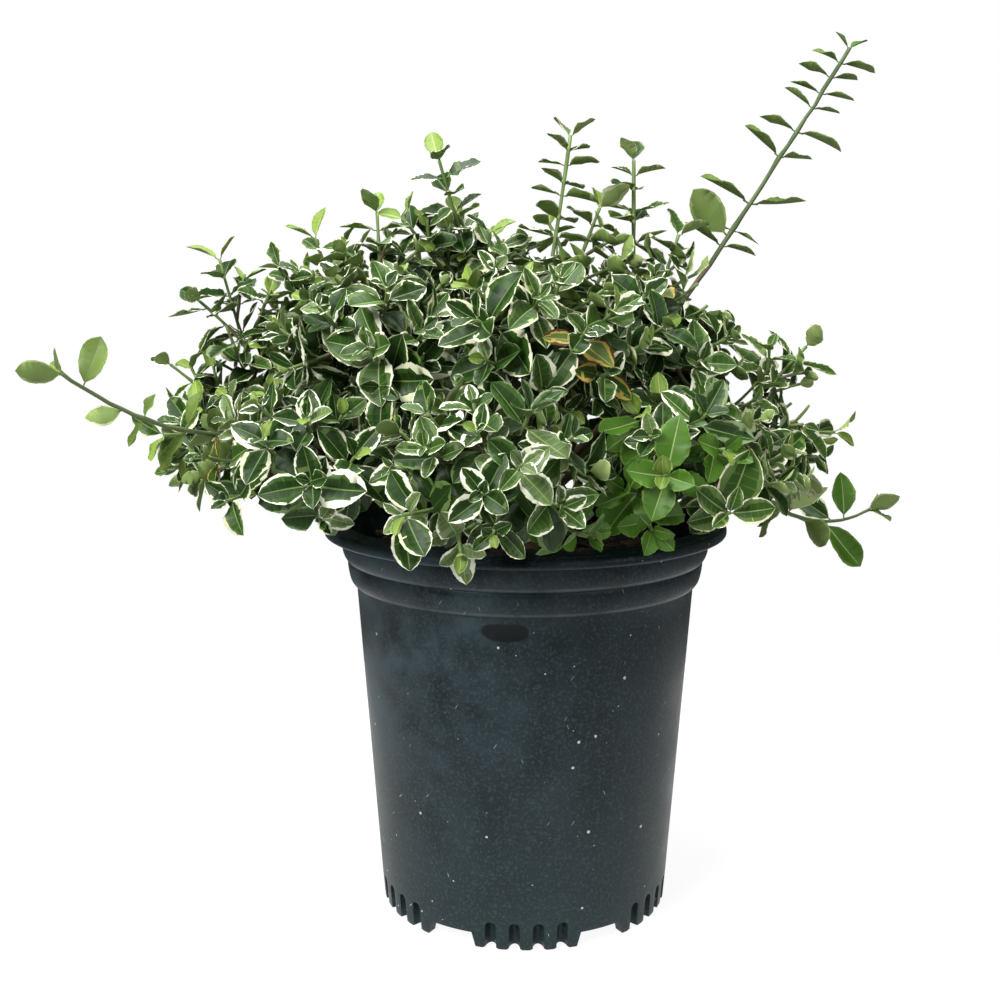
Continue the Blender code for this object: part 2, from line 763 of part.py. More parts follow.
def build_crown(collection, bark, leaf, shoot, fixed):
    masses = list_masses()
    limbs = []
    ends = {}
    for mass in masses:
        level = BOUGH_LEVELS.get(mass["kind"])
        if level is None:
            base = stem_axis(STEM_TOP) + UP * CLEARANCE
            tip = base.lerp(mass["centre"], BOUGH_SHARE)
            points = arc_points(base, base + UP * LEADER_RISE, tip, 4)
        else:
            tip = stem_axis(level).lerp(mass["centre"], BOUGH_SHARE)
            points = bough_points(level, tip)
        name = "bough_" + mass["name"]
        made = limb(name, points, tapered(BOUGH_RADII, len(points) - 1), 1, collection, bark)
        ends[mass["name"]] = (points[-1], (points[-1] - points[-2]).normalized())
        limbs.append(piece_of(made))
    for runner in RUNNERS:
        points = bough_points(runner["level"], Vector(runner["start"]))
        ends[runner["name"]] = (points[-1], (points[-1] - points[-2]).normalized())
        name = "bough_" + runner["name"]
        made = limb(name, points, tapered(RUNNER_BOUGH_RADII, len(points) - 1), 1, collection, bark)
        limbs.append(piece_of(made))
    limb_tree = tree_of(limbs)
    fixed_tree = tree_of(fixed)
    done = []
    for number, runner in enumerate(RUNNERS):
        rng = random.Random(SEED * 100 + number)
        start, heading = ends[runner["name"]]
        start = start + heading * CLEARANCE
        line = shoot_points(start + heading * STEM_STRAIGHT, Vector(runner["tip"]), runner["bend"])
        trees = [limb_tree, fixed_tree] + [tree_of(done)] * bool(done)
        pieces = shoot_pieces([start] + line, runner["pairs"], runner["bare"], runner["leaf"],
                              RUNNER_RADII, lambda v: not in_pot_zone(v), trees, rng, [])
        join_pieces(runner["name"], pieces, collection, shoot)
        done += pieces
    for number, mass in enumerate(masses):
        rng = random.Random(SEED * 1000 + number)
        trees = [limb_tree, fixed_tree, tree_of(done)]
        pieces = mass_pieces(mass, masses, ends[mass["name"]], trees, rng)
        join_pieces("foliage_" + mass["name"], pieces, collection, leaf)
        done += pieces


def main():
    clear_scene()
    plant = new_collection("wintercreeper_euonymus")
    cutters = new_collection("pot_cutters")
    materials = {name: new_material(name) for name in COLOURS}
    pot = build_pot(plant, cutters, materials["pot_plastic"])
    mix = build_potting_mix(plant, materials["potting_mix"])
    stem = build_stem(plant, materials["bark"])
    fixed = [piece_of(pot), piece_of(mix), piece_of(stem)]
    build_crown(plant, materials["bark"], materials["leaf_green"], materials["shoot_green"], fixed)


main()
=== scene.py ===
import math
import random
from functools import partial
from itertools import product

import bmesh
import bpy
import numpy as np
from mathutils import Matrix, Vector, noise
from mathutils.bvhtree import BVHTree


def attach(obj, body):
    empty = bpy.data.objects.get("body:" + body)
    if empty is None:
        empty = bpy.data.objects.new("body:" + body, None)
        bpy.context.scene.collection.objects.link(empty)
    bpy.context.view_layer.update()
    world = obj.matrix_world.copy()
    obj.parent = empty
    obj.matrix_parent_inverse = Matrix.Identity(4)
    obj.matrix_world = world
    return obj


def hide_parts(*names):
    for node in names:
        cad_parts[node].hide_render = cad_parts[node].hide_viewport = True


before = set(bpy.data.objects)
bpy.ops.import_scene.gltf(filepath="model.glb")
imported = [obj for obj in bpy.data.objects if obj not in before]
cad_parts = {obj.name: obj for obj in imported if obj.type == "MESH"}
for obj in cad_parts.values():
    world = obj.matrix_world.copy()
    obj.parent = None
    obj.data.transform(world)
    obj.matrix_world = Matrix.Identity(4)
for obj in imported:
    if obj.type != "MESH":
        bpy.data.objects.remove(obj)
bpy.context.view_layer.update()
print("frame loaded")

up = Vector((0.0, 0.0, 1.0))


# small helpers

def newObject(name, mesh, materials, nodes=(), slot=None):
    made = bpy.data.objects.new(name, mesh)
    for material in materials:
        mesh.materials.append(material)
    bpy.context.scene.collection.objects.link(made)
    if nodes:
        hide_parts(*nodes)
        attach(made, "root")
    return made


def meshOf(bm, name):
    mesh = bpy.data.meshes.new(name)
    bm.to_mesh(mesh)
    bm.free()
    mesh.shade_smooth()
    return mesh


def blend(a, b, share):
    return a + (b - a) * share


def newMaterial(name):
    made = bpy.data.materials.new(name)
    made.use_nodes = True
    return made, made.node_tree, made.node_tree.nodes["Principled BSDF"]


def addNode(tree, kind, settings=None, **inputs):
    # a node with its settings and inputs; an input may be a value or another node's output
    node = tree.nodes.new(kind)
    for key, value in (settings or {}).items():
        setattr(node, key, value)
    for key, value in inputs.items():
        socket = node.inputs[int(key[2:])] if key.startswith("in") and key[2:].isdigit() else node.inputs[key]
        if isinstance(value, bpy.types.NodeSocket):
            tree.links.new(value, socket)
        else:
            socket.default_value = value
    return node


def mathNode(tree, operation, a, b=0.0):
    return addNode(tree, "ShaderNodeMath", {"operation": operation}, in0=a, in1=b).outputs[0]


def ramp(tree, value, low, high, first=0.0, last=1.0):
    # straight line from first to last between two values, held outside them
    return addNode(tree, "ShaderNodeMapRange", {"clamp": True}, in0=value, in1=low, in2=high, in3=first,
                   in4=last).outputs[0]


def mixColour(tree, share, a, b):
    node = addNode(tree, "ShaderNodeMix", {"data_type": "RGBA"})
    for socket, value in ((node.inputs[0], share), (node.inputs[6], a), (node.inputs[7], b)):
        if isinstance(value, bpy.types.NodeSocket):
            tree.links.new(value, socket)
        else:
            socket.default_value = value if socket is node.inputs[0] else (*value[:3], 1.0)
    return node.outputs[2]


def noiseNode(tree, vector, scale, detail, roughness):
    return addNode(tree, "ShaderNodeTexNoise", None, Vector=vector, Scale=scale, Detail=detail,
                   Roughness=roughness).outputs["Fac"]


# camera, light and floor

view = {"place": (-0.01432, -0.77810, 0.36291), "tilt": 80.625, "lens": 49.356, "sensor": 36.0}
light = {
    "ambient": 0.12, "floorRadius": 0.50, "floorShade": 0.14, "floorGlow": 0.92,
    "lamps": (
        # name, place, looks at, size, watts
        ("frontLeft", (-1.15, -1.45, 1.55), (0.0, 0.0, 0.26), 1.0, 58.0),
        ("frontRight", (1.30, -1.35, 1.00), (0.0, 0.0, 0.22), 1.4, 13.0),
        ("above", (-0.15, 0.10, 2.00), (0.0, 0.0, 0.20), 1.4, 54.0),
    ),
}


def addCamera():
    data = bpy.data.cameras.new("camera")
    data.lens = view["lens"]
    data.sensor_width = view["sensor"]
    holder = bpy.data.objects.new("camera", data)
    holder.location = view["place"]
    holder.rotation_euler = (math.radians(view["tilt"]), 0.0, 0.0)
    bpy.context.scene.collection.objects.link(holder)
    bpy.context.scene.camera = holder


def pixelOf(point):
    # where a point falls in the 1000 x 1000 picture
    dip = math.radians(90.0 - view["tilt"])
    focal = 1000.0 * view["lens"] / view["sensor"]
    offset = point - Vector(view["place"])
    depth = offset.y * math.cos(dip) - offset.z * math.sin(dip)
    height = offset.y * math.sin(dip) + offset.z * math.cos(dip)
    return 500.0 + focal * offset.x / depth, 500.0 - focal * height / depth


def addLight():
    world = bpy.data.worlds.new("studio")
    world.use_nodes = True
    bpy.context.scene.world = world
    tree = world.node_tree
    background = tree.nodes["Background"]
    background.inputs["Color"].default_value = (1.0, 1.0, 1.0, 1.0)
    seen = tree.nodes.new("ShaderNodeLightPath")
    strength = mathNode(tree, "MAXIMUM", seen.outputs["Is Camera Ray"], light["ambient"])
    tree.links.new(strength, background.inputs["Strength"])
    for name, place, target, size, watts in light["lamps"]:
        data = bpy.data.lights.new(name, "AREA")
        data.energy = watts
        data.size = size
        lamp = bpy.data.objects.new(name, data)
        lamp.location = place
        lamp.rotation_euler = (Vector(target) - Vector(place)).to_track_quat("-Z", "Y").to_euler()
        bpy.context.scene.collection.objects.link(lamp)


def addFloor():
    bm = bmesh.new()
    bmesh.ops.create_circle(bm, cap_ends=True, segments=96, radius=light["floorRadius"])
    material, tree, shader = newMaterial("paperFloor")
    shader.inputs["Base Color"].default_value = (*[light["floorShade"]] * 3, 1.0)
    shader.inputs["Roughness"].default_value = 0.9
    shader.inputs["Specular IOR Level"].default_value = 0.1
    shader.inputs["Emission Color"].default_value = (1.0, 1.0, 1.0, 1.0)
    shader.inputs["Emission Strength"].default_value = light["floorGlow"]
    newObject("floor", meshOf(bm, "floor"), [material])


addCamera()
addLight()
addFloor()
bpy.context.scene.view_settings.view_transform = "Standard"
print("camera, light and floor ready")


# pot

pot = {
    "steps": 144,
    # radius and height in mm, from the middle of the floor up the inside, over the lip and down the outside
    "inside": ((0.0, 12.4), (76.4, 12.4), (76.4, 22.5), (83.1, 27.5), (95.1, 189.6), (96.8, 191.2),
               (100.0, 203.6), (100.4, 205.2), (103.8, 222.0)),
    "lip": ((103.9, 223.6), (104.2, 224.6), (104.8, 225.3), (105.6, 225.5), (106.4, 225.2), (107.0, 224.5),
            (107.6, 224.3), (108.6, 224.7), (109.5, 224.6), (110.1, 224.0), (110.6, 223.9), (111.3, 223.9),
            (111.9, 223.3), (112.3, 222.9), (112.8, 223.1), (113.5, 223.0), (114.2, 222.4), (114.8, 221.4),
            (115.0, 220.3), (115.0, 218.9), (114.6, 218.1), (113.9, 217.7), (113.2, 218.0), (112.6, 219.0),
            (106.6, 219.1), (105.7, 218.5)),
    "collars": ((105.6, 217.0), (105.5, 214.0), (105.1, 210.6), (104.5, 207.6), (103.8, 205.6), (103.0, 204.3),
                (102.3, 203.5), (101.5, 203.2), (101.8, 202.6), (101.8, 200.0), (101.4, 196.8), (100.8, 193.8),
                (100.1, 191.6), (99.2, 190.2), (98.4, 189.5), (97.1, 189.2)),
    "wall": ((96.85, 188.2), (96.1, 178.0), (93.4, 140.0), (90.5, 100.0), (87.65, 60.0), (85.7, 33.0),
             (84.6, 17.0), (83.6, 4.0), (83.35, 0.8), (82.9, 0.0)),
    "underside": ((76.5, 0.0), (76.5, 9.4), (0.0, 9.4)),
    "lugs": 6, "gapHeight": 8.4, "gapWidths": (31.5, 26.5), "gapReach": 24.0,
    "fluteAngles": (-13.5, -4.5, 4.5, 13.5), "fluteWidth": 6.2, "fluteTop": 16.0, "fluteDepth": 4.6,
    "waveRadius": 6.2, "waveHeight": 1.9, "edgeRound": 0.0014,
}


def spunShell(profile, steps):
    bm = bmesh.new()
    line = [bm.verts.new((radius / 1000.0, 0.0, height / 1000.0)) for radius, height in profile]
    edges = [bm.edges.new(pair) for pair in zip(line, line[1:])]
    bmesh.ops.spin(bm, geom=line + edges, cent=(0.0, 0.0, 0.0), axis=(0.0, 0.0, 1.0), dvec=(0.0, 0.0, 0.0),
                   angle=math.tau, steps=steps, use_merge=True, use_duplicate=False)
    bmesh.ops.remove_doubles(bm, verts=bm.verts, dist=0.00001)
    bmesh.ops.recalc_face_normals(bm, faces=bm.faces)
    return bm


def gapCutter(cut):
    # wedge that parts two lugs, wider at the ground
    wedge = bmesh.ops.create_cube(cut, size=1.0)["verts"]
    for vert in wedge:
        low = vert.co.z < 0.0
        vert.co.x *= pot["gapReach"] / 1000.0
        vert.co.y *= pot["gapWidths"][0 if low else 1] / 1000.0
        vert.co.z = -0.002 if low else pot["gapHeight"] / 1000.0
    return wedge


def fluteCutter(cut):
    # rounded groove: a ball drawn out downwards, as deep as it is told and round at its head
    half = pot["fluteWidth"] / 2000.0
    spring = pot["fluteTop"] / 1000.0 - half
    ball = bmesh.ops.create_uvsphere(cut, u_segments=20, v_segments=12, radius=1.0)["verts"]
    for vert in ball:
        if vert.co.z < -0.001:
            if vert.co.xy.length > 0.001:
                vert.co.xy = vert.co.xy.normalized()
            vert.co.z = -(spring + 0.002) / half
        vert.co = (vert.co.x * pot["fluteDepth"] / 1000.0, vert.co.y * half, spring + vert.co.z * half)
    bmesh.ops.remove_doubles(cut, verts=ball, dist=0.00005)
    return [vert for vert in ball if vert.is_valid]


def waveCutter(cut):
    # round bar lying under the wall, so that the lug's foot runs in a soft wave from rib to rib
    bar = bmesh.ops.create_cone(cut, cap_ends=True, segments=40, radius1=pot["waveRadius"] / 1000.0,
                                radius2=pot["waveRadius"] / 1000.0, depth=0.016,
                                matrix=Matrix.Rotation(math.pi / 2, 4, "Y"))["verts"]
    bmesh.ops.translate(cut, verts=bar, vec=(0.0, 0.0, (pot["waveHeight"] - pot["waveRadius"]) / 1000.0))
    return bar


def potCutters(shapes):
    cut = bmesh.new()
    lugTurn = 360.0 / pot["lugs"]
    for lug in range(pot["lugs"]):
        middle = -90.0 + lug * lugTurn
        places = [(gapCutter, middle + lugTurn / 2, 79.4)]
        places += [(fluteCutter, middle + angle, 83.5) for angle in pot["fluteAngles"]]
        places += [(waveCutter, middle + angle, 81.0) for angle in pot["fluteAngles"]]
        for cutter, angle, radius in [place for place in places if place[0] in shapes]:
            verts = cutter(cut)
            bmesh.ops.translate(cut, verts=verts, vec=(radius / 1000.0, 0.0, 0.0))
            bmesh.ops.rotate(cut, verts=verts, cent=(0.0, 0.0, 0.0),
                             matrix=Matrix.Rotation(math.radians(angle), 3, "Z"))
    bmesh.ops.recalc_face_normals(cut, faces=cut.faces)
    return meshOf(cut, "potCutters")


potFinish = {
    # film: bluish film of dried water, whose pale colour also serves as painted light on the upper left
    "shades": ((0.0044, 0.0106, 0.0132), (0.0088, 0.0170, 0.0200)), "film": (0.044, 0.072, 0.086),
    # foot: lighter, greener colour painted towards the foot as light bounced up from the floor
    "foot": (0.0165, 0.0315, 0.0330), "grain": (0.046, 0.066, 0.070), "dust": (0.52, 0.56, 0.55),
    # painted highlight: heights of the light lines below the collars, and their colour
    "wornLevels": (0.2047, 0.1908), "worn": (0.085, 0.108, 0.112),
    # turn, scale and rarity of each set of scratches
    "scratches": ((0.55, 75.0, 0.965), (-0.35, 84.0, 0.972)),
    # the dark oval's middle across and up, half its width and height, and the middle of the smear on the lip
    "oval": (-0.0125, 0.1814, 0.0136, 0.0051), "lipSmear": -0.0070, "darkMarks": (0.0026, 0.0038, 0.0048),
    "specular": 0.20,
}


def potPlastic():
    material, tree, shader = newMaterial("potPlastic")
    place = addNode(tree, "ShaderNodeTexCoord").outputs["Object"]
    x, y, z = addNode(tree, "ShaderNodeSeparateXYZ", None, Vector=place).outputs
    calc, span, paint = (partial(made, tree) for made in (mathNode, ramp, mixColour))
    times, plus = partial(calc, "MULTIPLY"), partial(calc, "ADD")
    front = span(y, 0.02, -0.05)
    # cloudy bluish film of dried water, mottled by noise and made strongest at the upper left; that strength is painted
    # light, the lit side of the pot drawn paler
    cloud = noiseNode(tree, place, 34.0, 7.0, 0.62)
    broad = noiseNode(tree, place, 9.0, 3.0, 0.5)
    left = times(span(x, 0.03, -0.075), span(z, 0.02, 0.19))
    film = times(span(cloud, 0.38, 0.66), span(left, 0.0, 1.0, 0.16, 1.0))
    colour = paint(span(broad, 0.35, 0.65), *potFinish["shades"])
    colour = paint(film, colour, potFinish["film"])
    # painted light: the wall turns lighter and greener towards the foot, standing in for light bounced up from the
    # floor
    colour = paint(span(z, 0.10, 0.0, 0.0, 0.60), colour, potFinish["foot"])
    # fine grain
    grain = noiseNode(tree, place, 620.0, 2.0, 0.6)
    colour = paint(span(grain, 0.50, 0.72, 0.0, 0.55), colour, potFinish["grain"])
    # painted highlight: lighter lines below the two collars, where light catches their lower edges, mottled by the
    # film's noise
    for level in potFinish["wornLevels"]:
        off = calc("ABSOLUTE", calc("SUBTRACT", z, level))
        worn = times(span(off, 0.0012, 0.0002), span(cloud, 0.38, 0.60, 0.12, 0.60))
        colour = paint(worn, colour, potFinish["worn"])
    # specks of dust and grit, more of them low on the wall
    cells = addNode(tree, "ShaderNodeTexVoronoi", {"feature": "F1"}, Vector=place, Scale=330.0, Randomness=1.0)
    pick = addNode(tree, "ShaderNodeSeparateColor", None, Color=cells.outputs["Color"]).outputs
    chosen = calc("GREATER_THAN", pick[0], span(z, 0.0, 0.16, 0.870, 0.970))
    speckSize = plus(times(calc("POWER", pick[1], 4.0), 0.24), 0.08)
    marks = times(chosen, calc("LESS_THAN", cells.outputs["Distance"], speckSize))
    # short scratches: long thin cells, turned two ways
    for turn, scale, least in potFinish["scratches"]:
        turned = addNode(tree, "ShaderNodeMapping", {"vector_type": "TEXTURE"}, Vector=place)
        turned.inputs["Rotation"].default_value = (0.0, turn, 0.0)
        turned.inputs["Scale"].default_value = (0.11, 1.0, 1.0)
        lines = addNode(tree, "ShaderNodeTexVoronoi", {"feature": "F1"}, Vector=turned.outputs[0], Scale=scale,
                        Randomness=1.0)
        chance = addNode(tree, "ShaderNodeSeparateColor", None, Color=lines.outputs["Color"]).outputs[0]
        line = times(calc("GREATER_THAN", chance, least), calc("LESS_THAN", lines.outputs["Distance"], 0.13))
        marks = calc("MAXIMUM", marks, times(line, span(z, 0.02, 0.14, 0.8, 0.35)))
    colour = paint(times(marks, 0.80), colour, potFinish["dust"])
    # a dark oval below the collars and a dark smear on the lip, both on the front only
    middle, level, half, tall = potFinish["oval"]
    across = calc("ABSOLUTE", calc("DIVIDE", calc("SUBTRACT", x, middle), half))
    down = calc("ABSOLUTE", calc("DIVIDE", calc("SUBTRACT", z, level), tall))
    oval = plus(calc("POWER", across, 2.4), calc("POWER", down, 2.0))
    oval = plus(oval, span(cloud, 0.3, 0.7, -0.45, 0.45))
    darkOval = times(span(oval, 1.10, 0.80), span(z, 0.1868, 0.1850))
    smear = span(calc("ABSOLUTE", calc("SUBTRACT", x, potFinish["lipSmear"])), 0.0075, 0.0055)
    smear = times(times(span(z, 0.2188, 0.2196), smear), 0.8)
    darkMarks = times(calc("MAXIMUM", darkOval, smear), front)
    colour = paint(times(darkMarks, 0.88), colour, potFinish["darkMarks"])
    tree.links.new(colour, shader.inputs["Base Color"])
    rough = plus(span(cloud, 0.35, 0.7, 0.36, 0.50), times(darkMarks, -0.06))
    tree.links.new(rough, shader.inputs["Roughness"])
    shader.inputs["Specular IOR Level"].default_value = potFinish["specular"]
    height = plus(times(grain, 0.5), times(cloud, 1.2))
    bump = addNode(tree, "ShaderNodeBump", None, Strength=0.10, Distance=0.0006, Height=height)
    tree.links.new(bump.outputs[0], shader.inputs["Normal"])
    return material


def buildPot():
    profile = sum((pot[part] for part in ("inside", "lip", "collars", "wall", "underside")), ())
    raw = newObject("potRaw", meshOf(spunShell(profile, pot["steps"]), "potRaw"), [])
    cutters = [newObject("potCutters", potCutters(shapes), []) for shapes in ((gapCutter, fluteCutter), (waveCutter,))]
    for cutter in cutters:
        cut = raw.modifiers.new("lugs and flutes", "BOOLEAN")
        cut.operation = "DIFFERENCE"
        cut.solver = "EXACT"
        cut.use_self = cutter is cutters[1]
        cut.object = cutter
    graph = bpy.context.evaluated_depsgraph_get()
    mesh = bpy.data.meshes.new_from_object(raw.evaluated_get(graph))
    for gone in (raw, *cutters):
        bpy.data.objects.remove(gone, do_unlink=True)
    bm = bmesh.new()
    bm.from_mesh(mesh)
    bmesh.ops.remove_doubles(bm, verts=bm.verts, dist=0.00002)
    # the edges of lugs and flutes are rounded, the inside of the foot is not
    crisp = [edge for edge in bm.edges if edge.is_manifold and edge.calc_face_angle(0.0) > math.radians(38.0)
             and max(vert.co.z for vert in edge.verts) < 0.0175 and edge.verts[0].co.xy.length > 0.0771
             and edge.verts[1].co.xy.length > 0.0771]
    bmesh.ops.bevel(bm, geom=crisp, offset=pot["edgeRound"], offset_type="OFFSET", segments=3, profile=0.5,
                    affect="EDGES", clamp_overlap=True, material=-1)
    shell = meshOf(bm, "pot_shell")
    shell.materials.clear()
    shell.set_sharp_from_angle(angle=math.radians(42.0))
    newObject("pot_shell", shell, [potPlastic()], ["pot"], "pot_plastic")


buildPot()
print("pot built")


# potting mix

mix = {"level": 208.0, "rings": 26, "steps": 96, "edgeRadius": 98.6, "depth": 14.0, "relief": 0.0016,
       "chips": 420, "chipLength": (0.003, 0.010), "chipSpread": 0.094, "seed": 5}


def mixMaterial(name, dark, pale, scale):
    material, tree, shader = newMaterial(name)
    place = addNode(tree, "ShaderNodeTexCoord").outputs["Object"]
    crumbs = noiseNode(tree, place, scale, 6.0, 0.7)
    tree.links.new(mixColour(tree, ramp(tree, crumbs, 0.35, 0.7), dark, pale), shader.inputs["Base Color"])
    tree.links.new(ramp(tree, crumbs, 0.3, 0.7, 0.75, 0.98), shader.inputs["Roughness"])
    bump = addNode(tree, "ShaderNodeBump", None, Strength=0.6, Distance=0.0012, Height=crumbs)
    tree.links.new(bump.outputs[0], shader.inputs["Normal"])
    return material


def buildMix():
    rng = random.Random(mix["seed"])
    radii = [mix["edgeRadius"] * ring / mix["rings"] for ring in range(mix["rings"] + 1)]
    top = [(radius, mix["level"] - 3.0 * max(0.0, radius / mix["edgeRadius"] - 0.9) * 10.0) for radius in radii]
    profile = top + [(mix["edgeRadius"] - 1.6, mix["level"] - mix["depth"]), (0.0, mix["level"] - mix["depth"])]
    bm = spunShell(profile, mix["steps"])
    for vert in bm.verts:
        if vert.co.z > 0.200:
            lump = noise.fractal(vert.co * 90.0, 1.0, 2.0, 4)
            vert.co.z += mix["relief"] * (lump - 0.6)
    for number in range(mix["chips"]):
        turn = rng.uniform(0.0, math.tau)
        out = mix["chipSpread"] * math.sqrt(rng.random())
        length = rng.uniform(*mix["chipLength"])
        size = Matrix.Diagonal((length, length * rng.uniform(0.3, 0.6), length * 0.22, 1.0))
        tilt = Matrix.Rotation(rng.uniform(0, math.tau), 4, "Z") @ Matrix.Rotation(rng.uniform(-0.5, 0.5), 4, "X")
        spot = Matrix.Translation((out * math.cos(turn), out * math.sin(turn), mix["level"] / 1000.0 - 0.0004))
        chip = bmesh.ops.create_cube(bm, size=1.0, matrix=spot @ tilt @ size)["verts"]
        for vert in chip:
            vert.co += Vector([rng.uniform(-0.18, 0.18) * length for axis in range(3)]) * 0.6
        for face in {face for vert in chip for face in vert.link_faces}:
            face.material_index = 1 if number % 3 else 2
    mesh = meshOf(bm, "potting_mix_top")
    mesh.set_sharp_from_angle(angle=math.radians(35.0))
    materials = [mixMaterial("mixCrumbs", (0.010, 0.007, 0.005), (0.050, 0.034, 0.022), 260.0),
                 mixMaterial("mixBark", (0.035, 0.020, 0.012), (0.110, 0.066, 0.038), 180.0),
                 mixMaterial("mixPaleBark", (0.070, 0.048, 0.030), (0.190, 0.135, 0.085), 150.0)]
    newObject("potting_mix_top", mesh, materials, ["potting_mix"], "potting_mix")


buildMix()
print("potting mix built")


# the crown's plan, as the solids have it

crown = {
    "lean": -0.018, "heart": 0.250,
    "skirt": {"count": 8, "turn": 0, "distance": 0.123, "height": 0.264, "radii": (0.073, 0.052)},
    "shoulder": {"count": 6, "turn": 45, "distance": 0.080, "height": 0.315, "radii": (0.070, 0.061)},
    "top": {"height": 0.330, "radii": (0.062, 0.062)},
    "levels": {"skirt": 0.2300, "shoulder": 0.2375},
    "rimZone": (0.0975, 0.1180, 0.2275), "soilZone": 0.2100,
    # lowest level of the leaves, by azimuth round the crown
    "hemTurns": (0, 45, 135, 180, 222, 230, 250, 270, 295, 312, 330, 348, 360),
    "hemLevels": (0.222, 0.224, 0.226, 0.234, 0.246, 0.2320, 0.2305, 0.2300, 0.2300, 0.2360, 0.2440, 0.2370, 0.222),
    "soil": 0.208, "stemTop": 0.254, "stemLean": 0.0025,
    "stemShares": (0.0, 0.14, 0.32, 0.90, 1.0), "stemRadii": (0.0125, 0.0095, 0.0082, 0.0076, 0.0068),
    "boughRadii": (0.0027, 0.0017), "boughShare": 0.50, "boughStub": 0.004, "boughSweep": 0.35,
    "boughRise": 0.003, "leaderRise": 0.015,
}
runners = {
    "tall_shoot": {"level": 0.2510, "start": (0.072, 0.018, 0.318), "tip": (0.190, 0.055, 0.493), "bend": -0.003},
    "left_runner": {"level": 0.2460, "start": (-0.112, -0.052, 0.285), "tip": (-0.2226, -0.128, 0.317),
                    "bend": -0.018},
    "right_runner": {"level": 0.2445, "start": (0.106, 0.040, 0.262), "tip": (0.2205, 0.079, 0.2155),
                     "bend": -0.024},
    "back_runner": {"level": 0.2460, "start": (0.010, 0.092, 0.288), "tip": (0.030, 0.160, 0.345), "bend": 0.006},
}


def stemAxis(z):
    share = (z - crown["soil"]) / (crown["stemTop"] - crown["soil"])
    return Vector((-crown["stemLean"] * share, 0.0, z))


def stemRadius(z):
    share = (z - crown["soil"]) / (crown["stemTop"] - crown["soil"])
    return float(np.interp(share, crown["stemShares"], crown["stemRadii"]))


def arc(start, middle, end, steps):
    # quadratic curve from start to end, drawn towards middle
    shares = [k / steps for k in range(steps + 1)]
    return [start * (1 - t) ** 2 + middle * (2 * t * (1 - t)) + end * t ** 2 for t in shares]


def boughLine(level, tip, steps=9):
    # leaves the stem square to its side, then bends towards its mass
    outward = Vector((tip.x, tip.y, 0.0)).normalized()
    start = stemAxis(level) + outward * (stemRadius(level) - 0.0012)
    first = start + outward * crown["boughStub"]
    middle = start + outward * (crown["boughSweep"] * (tip - start).length) + up * crown["boughRise"]
    return [start] + arc(first, middle, tip, steps)


def listMasses():
    masses = []
    for kind in ("skirt", "shoulder"):
        ring = crown[kind]
        for k in range(ring["count"]):
            azimuth = ring["turn"] + 360.0 * k / ring["count"]
            turn = math.radians(azimuth)
            centre = Vector((crown["lean"] + ring["distance"] * math.cos(turn), ring["distance"] * math.sin(turn),
                             ring["height"]))
            masses.append({"name": f"{kind}_{azimuth:.0f}", "kind": kind, "centre": centre, "radii": ring["radii"]})
    centre = Vector((crown["lean"], 0.0, crown["top"]["height"]))
    masses.append({"name": "crown_top", "kind": "top", "centre": centre, "radii": crown["top"]["radii"]})
    for mass in masses:
        if mass["kind"] == "top":
            base = stemAxis(crown["stemTop"]) - up * 0.001
            tip = base.lerp(mass["centre"], crown["boughShare"])
            mass["bough"] = arc(base, base + up * crown["leaderRise"], tip, 9)
        else:
            level = crown["levels"][mass["kind"]]
            mass["bough"] = boughLine(level, stemAxis(level).lerp(mass["centre"], crown["boughShare"]))
    return masses


def spread(mass, place):
    # distance from the mass's centre as a share of its reach in that direction
    offset = place - mass["centre"]
    flat, tall = mass["radii"]
    return math.sqrt((offset.x ** 2 + offset.y ** 2) / flat ** 2 + offset.z ** 2 / tall ** 2)


def inPotZone(place):
    radius = math.hypot(place.x, place.y)
    inner, outer, level = crown["rimZone"]
    if radius < inner:
        return place.z < crown["soilZone"]
    return radius < outer and place.z < level


def hemLevel(place):
    azimuth = math.degrees(math.atan2(place.y, place.x)) % 360.0
    return float(np.interp(azimuth, crown["hemTurns"], crown["hemLevels"]))


def inSpace(mass, place, limit, margin):
    own = spread(mass, place)
    if own > limit or inPotZone(place):
        return False
    return all(own < spread(other, place) - margin for other in masses if other is not mass)


def reachAlong(mass, origin, direction, margin):
    distance = 0.0
    while inSpace(mass, origin + direction * (distance + 0.002), 1.0, margin):
        distance += 0.002
    return distance


masses = listMasses()


# stem and boughs with bark

bark = {"stemSides": 28, "boughSides": 14, "stemRings": 26, "ridge": 0.10, "ring": 0.06,
        "shootRadii": (0.0027, 0.0019)}


def barkMaterial():
    material, tree, shader = newMaterial("bark")
    place = addNode(tree, "ShaderNodeTexCoord").outputs["Object"]
    fibres = noiseNode(tree, place, 240.0, 6.0, 0.65)
    broad = noiseNode(tree, place, 60.0, 3.0, 0.5)
    colour = mixColour(tree, ramp(tree, fibres, 0.32, 0.68), (0.075, 0.052, 0.030), (0.270, 0.205, 0.125))
    colour = mixColour(tree, ramp(tree, broad, 0.45, 0.65, 0.0, 0.6), colour, (0.120, 0.130, 0.060))
    tree.links.new(colour, shader.inputs["Base Color"])
    tree.links.new(ramp(tree, fibres, 0.3, 0.7, 0.65, 0.90), shader.inputs["Roughness"])
    bump = addNode(tree, "ShaderNodeBump", None, Strength=0.5, Distance=0.0006, Height=fibres)
    tree.links.new(bump.outputs[0], shader.inputs["Normal"])
    return material


def ringFrames(line, lead=None, carried=True):
    # place, side and lift for a ring at each point of the line; carried keeps it from turning on itself
    side = None
    for k, place in enumerate(line):
        along = (line[min(k + 1, len(line) - 1)] - line[max(k - 1, 0)]).normalized()
        if carried and side is not None:
            side = (side - along * side.dot(along)).normalized()
        else:
            side = (along.cross(lead) if lead else along.orthogonal()).normalized()
        yield k, place, side, along.cross(side)


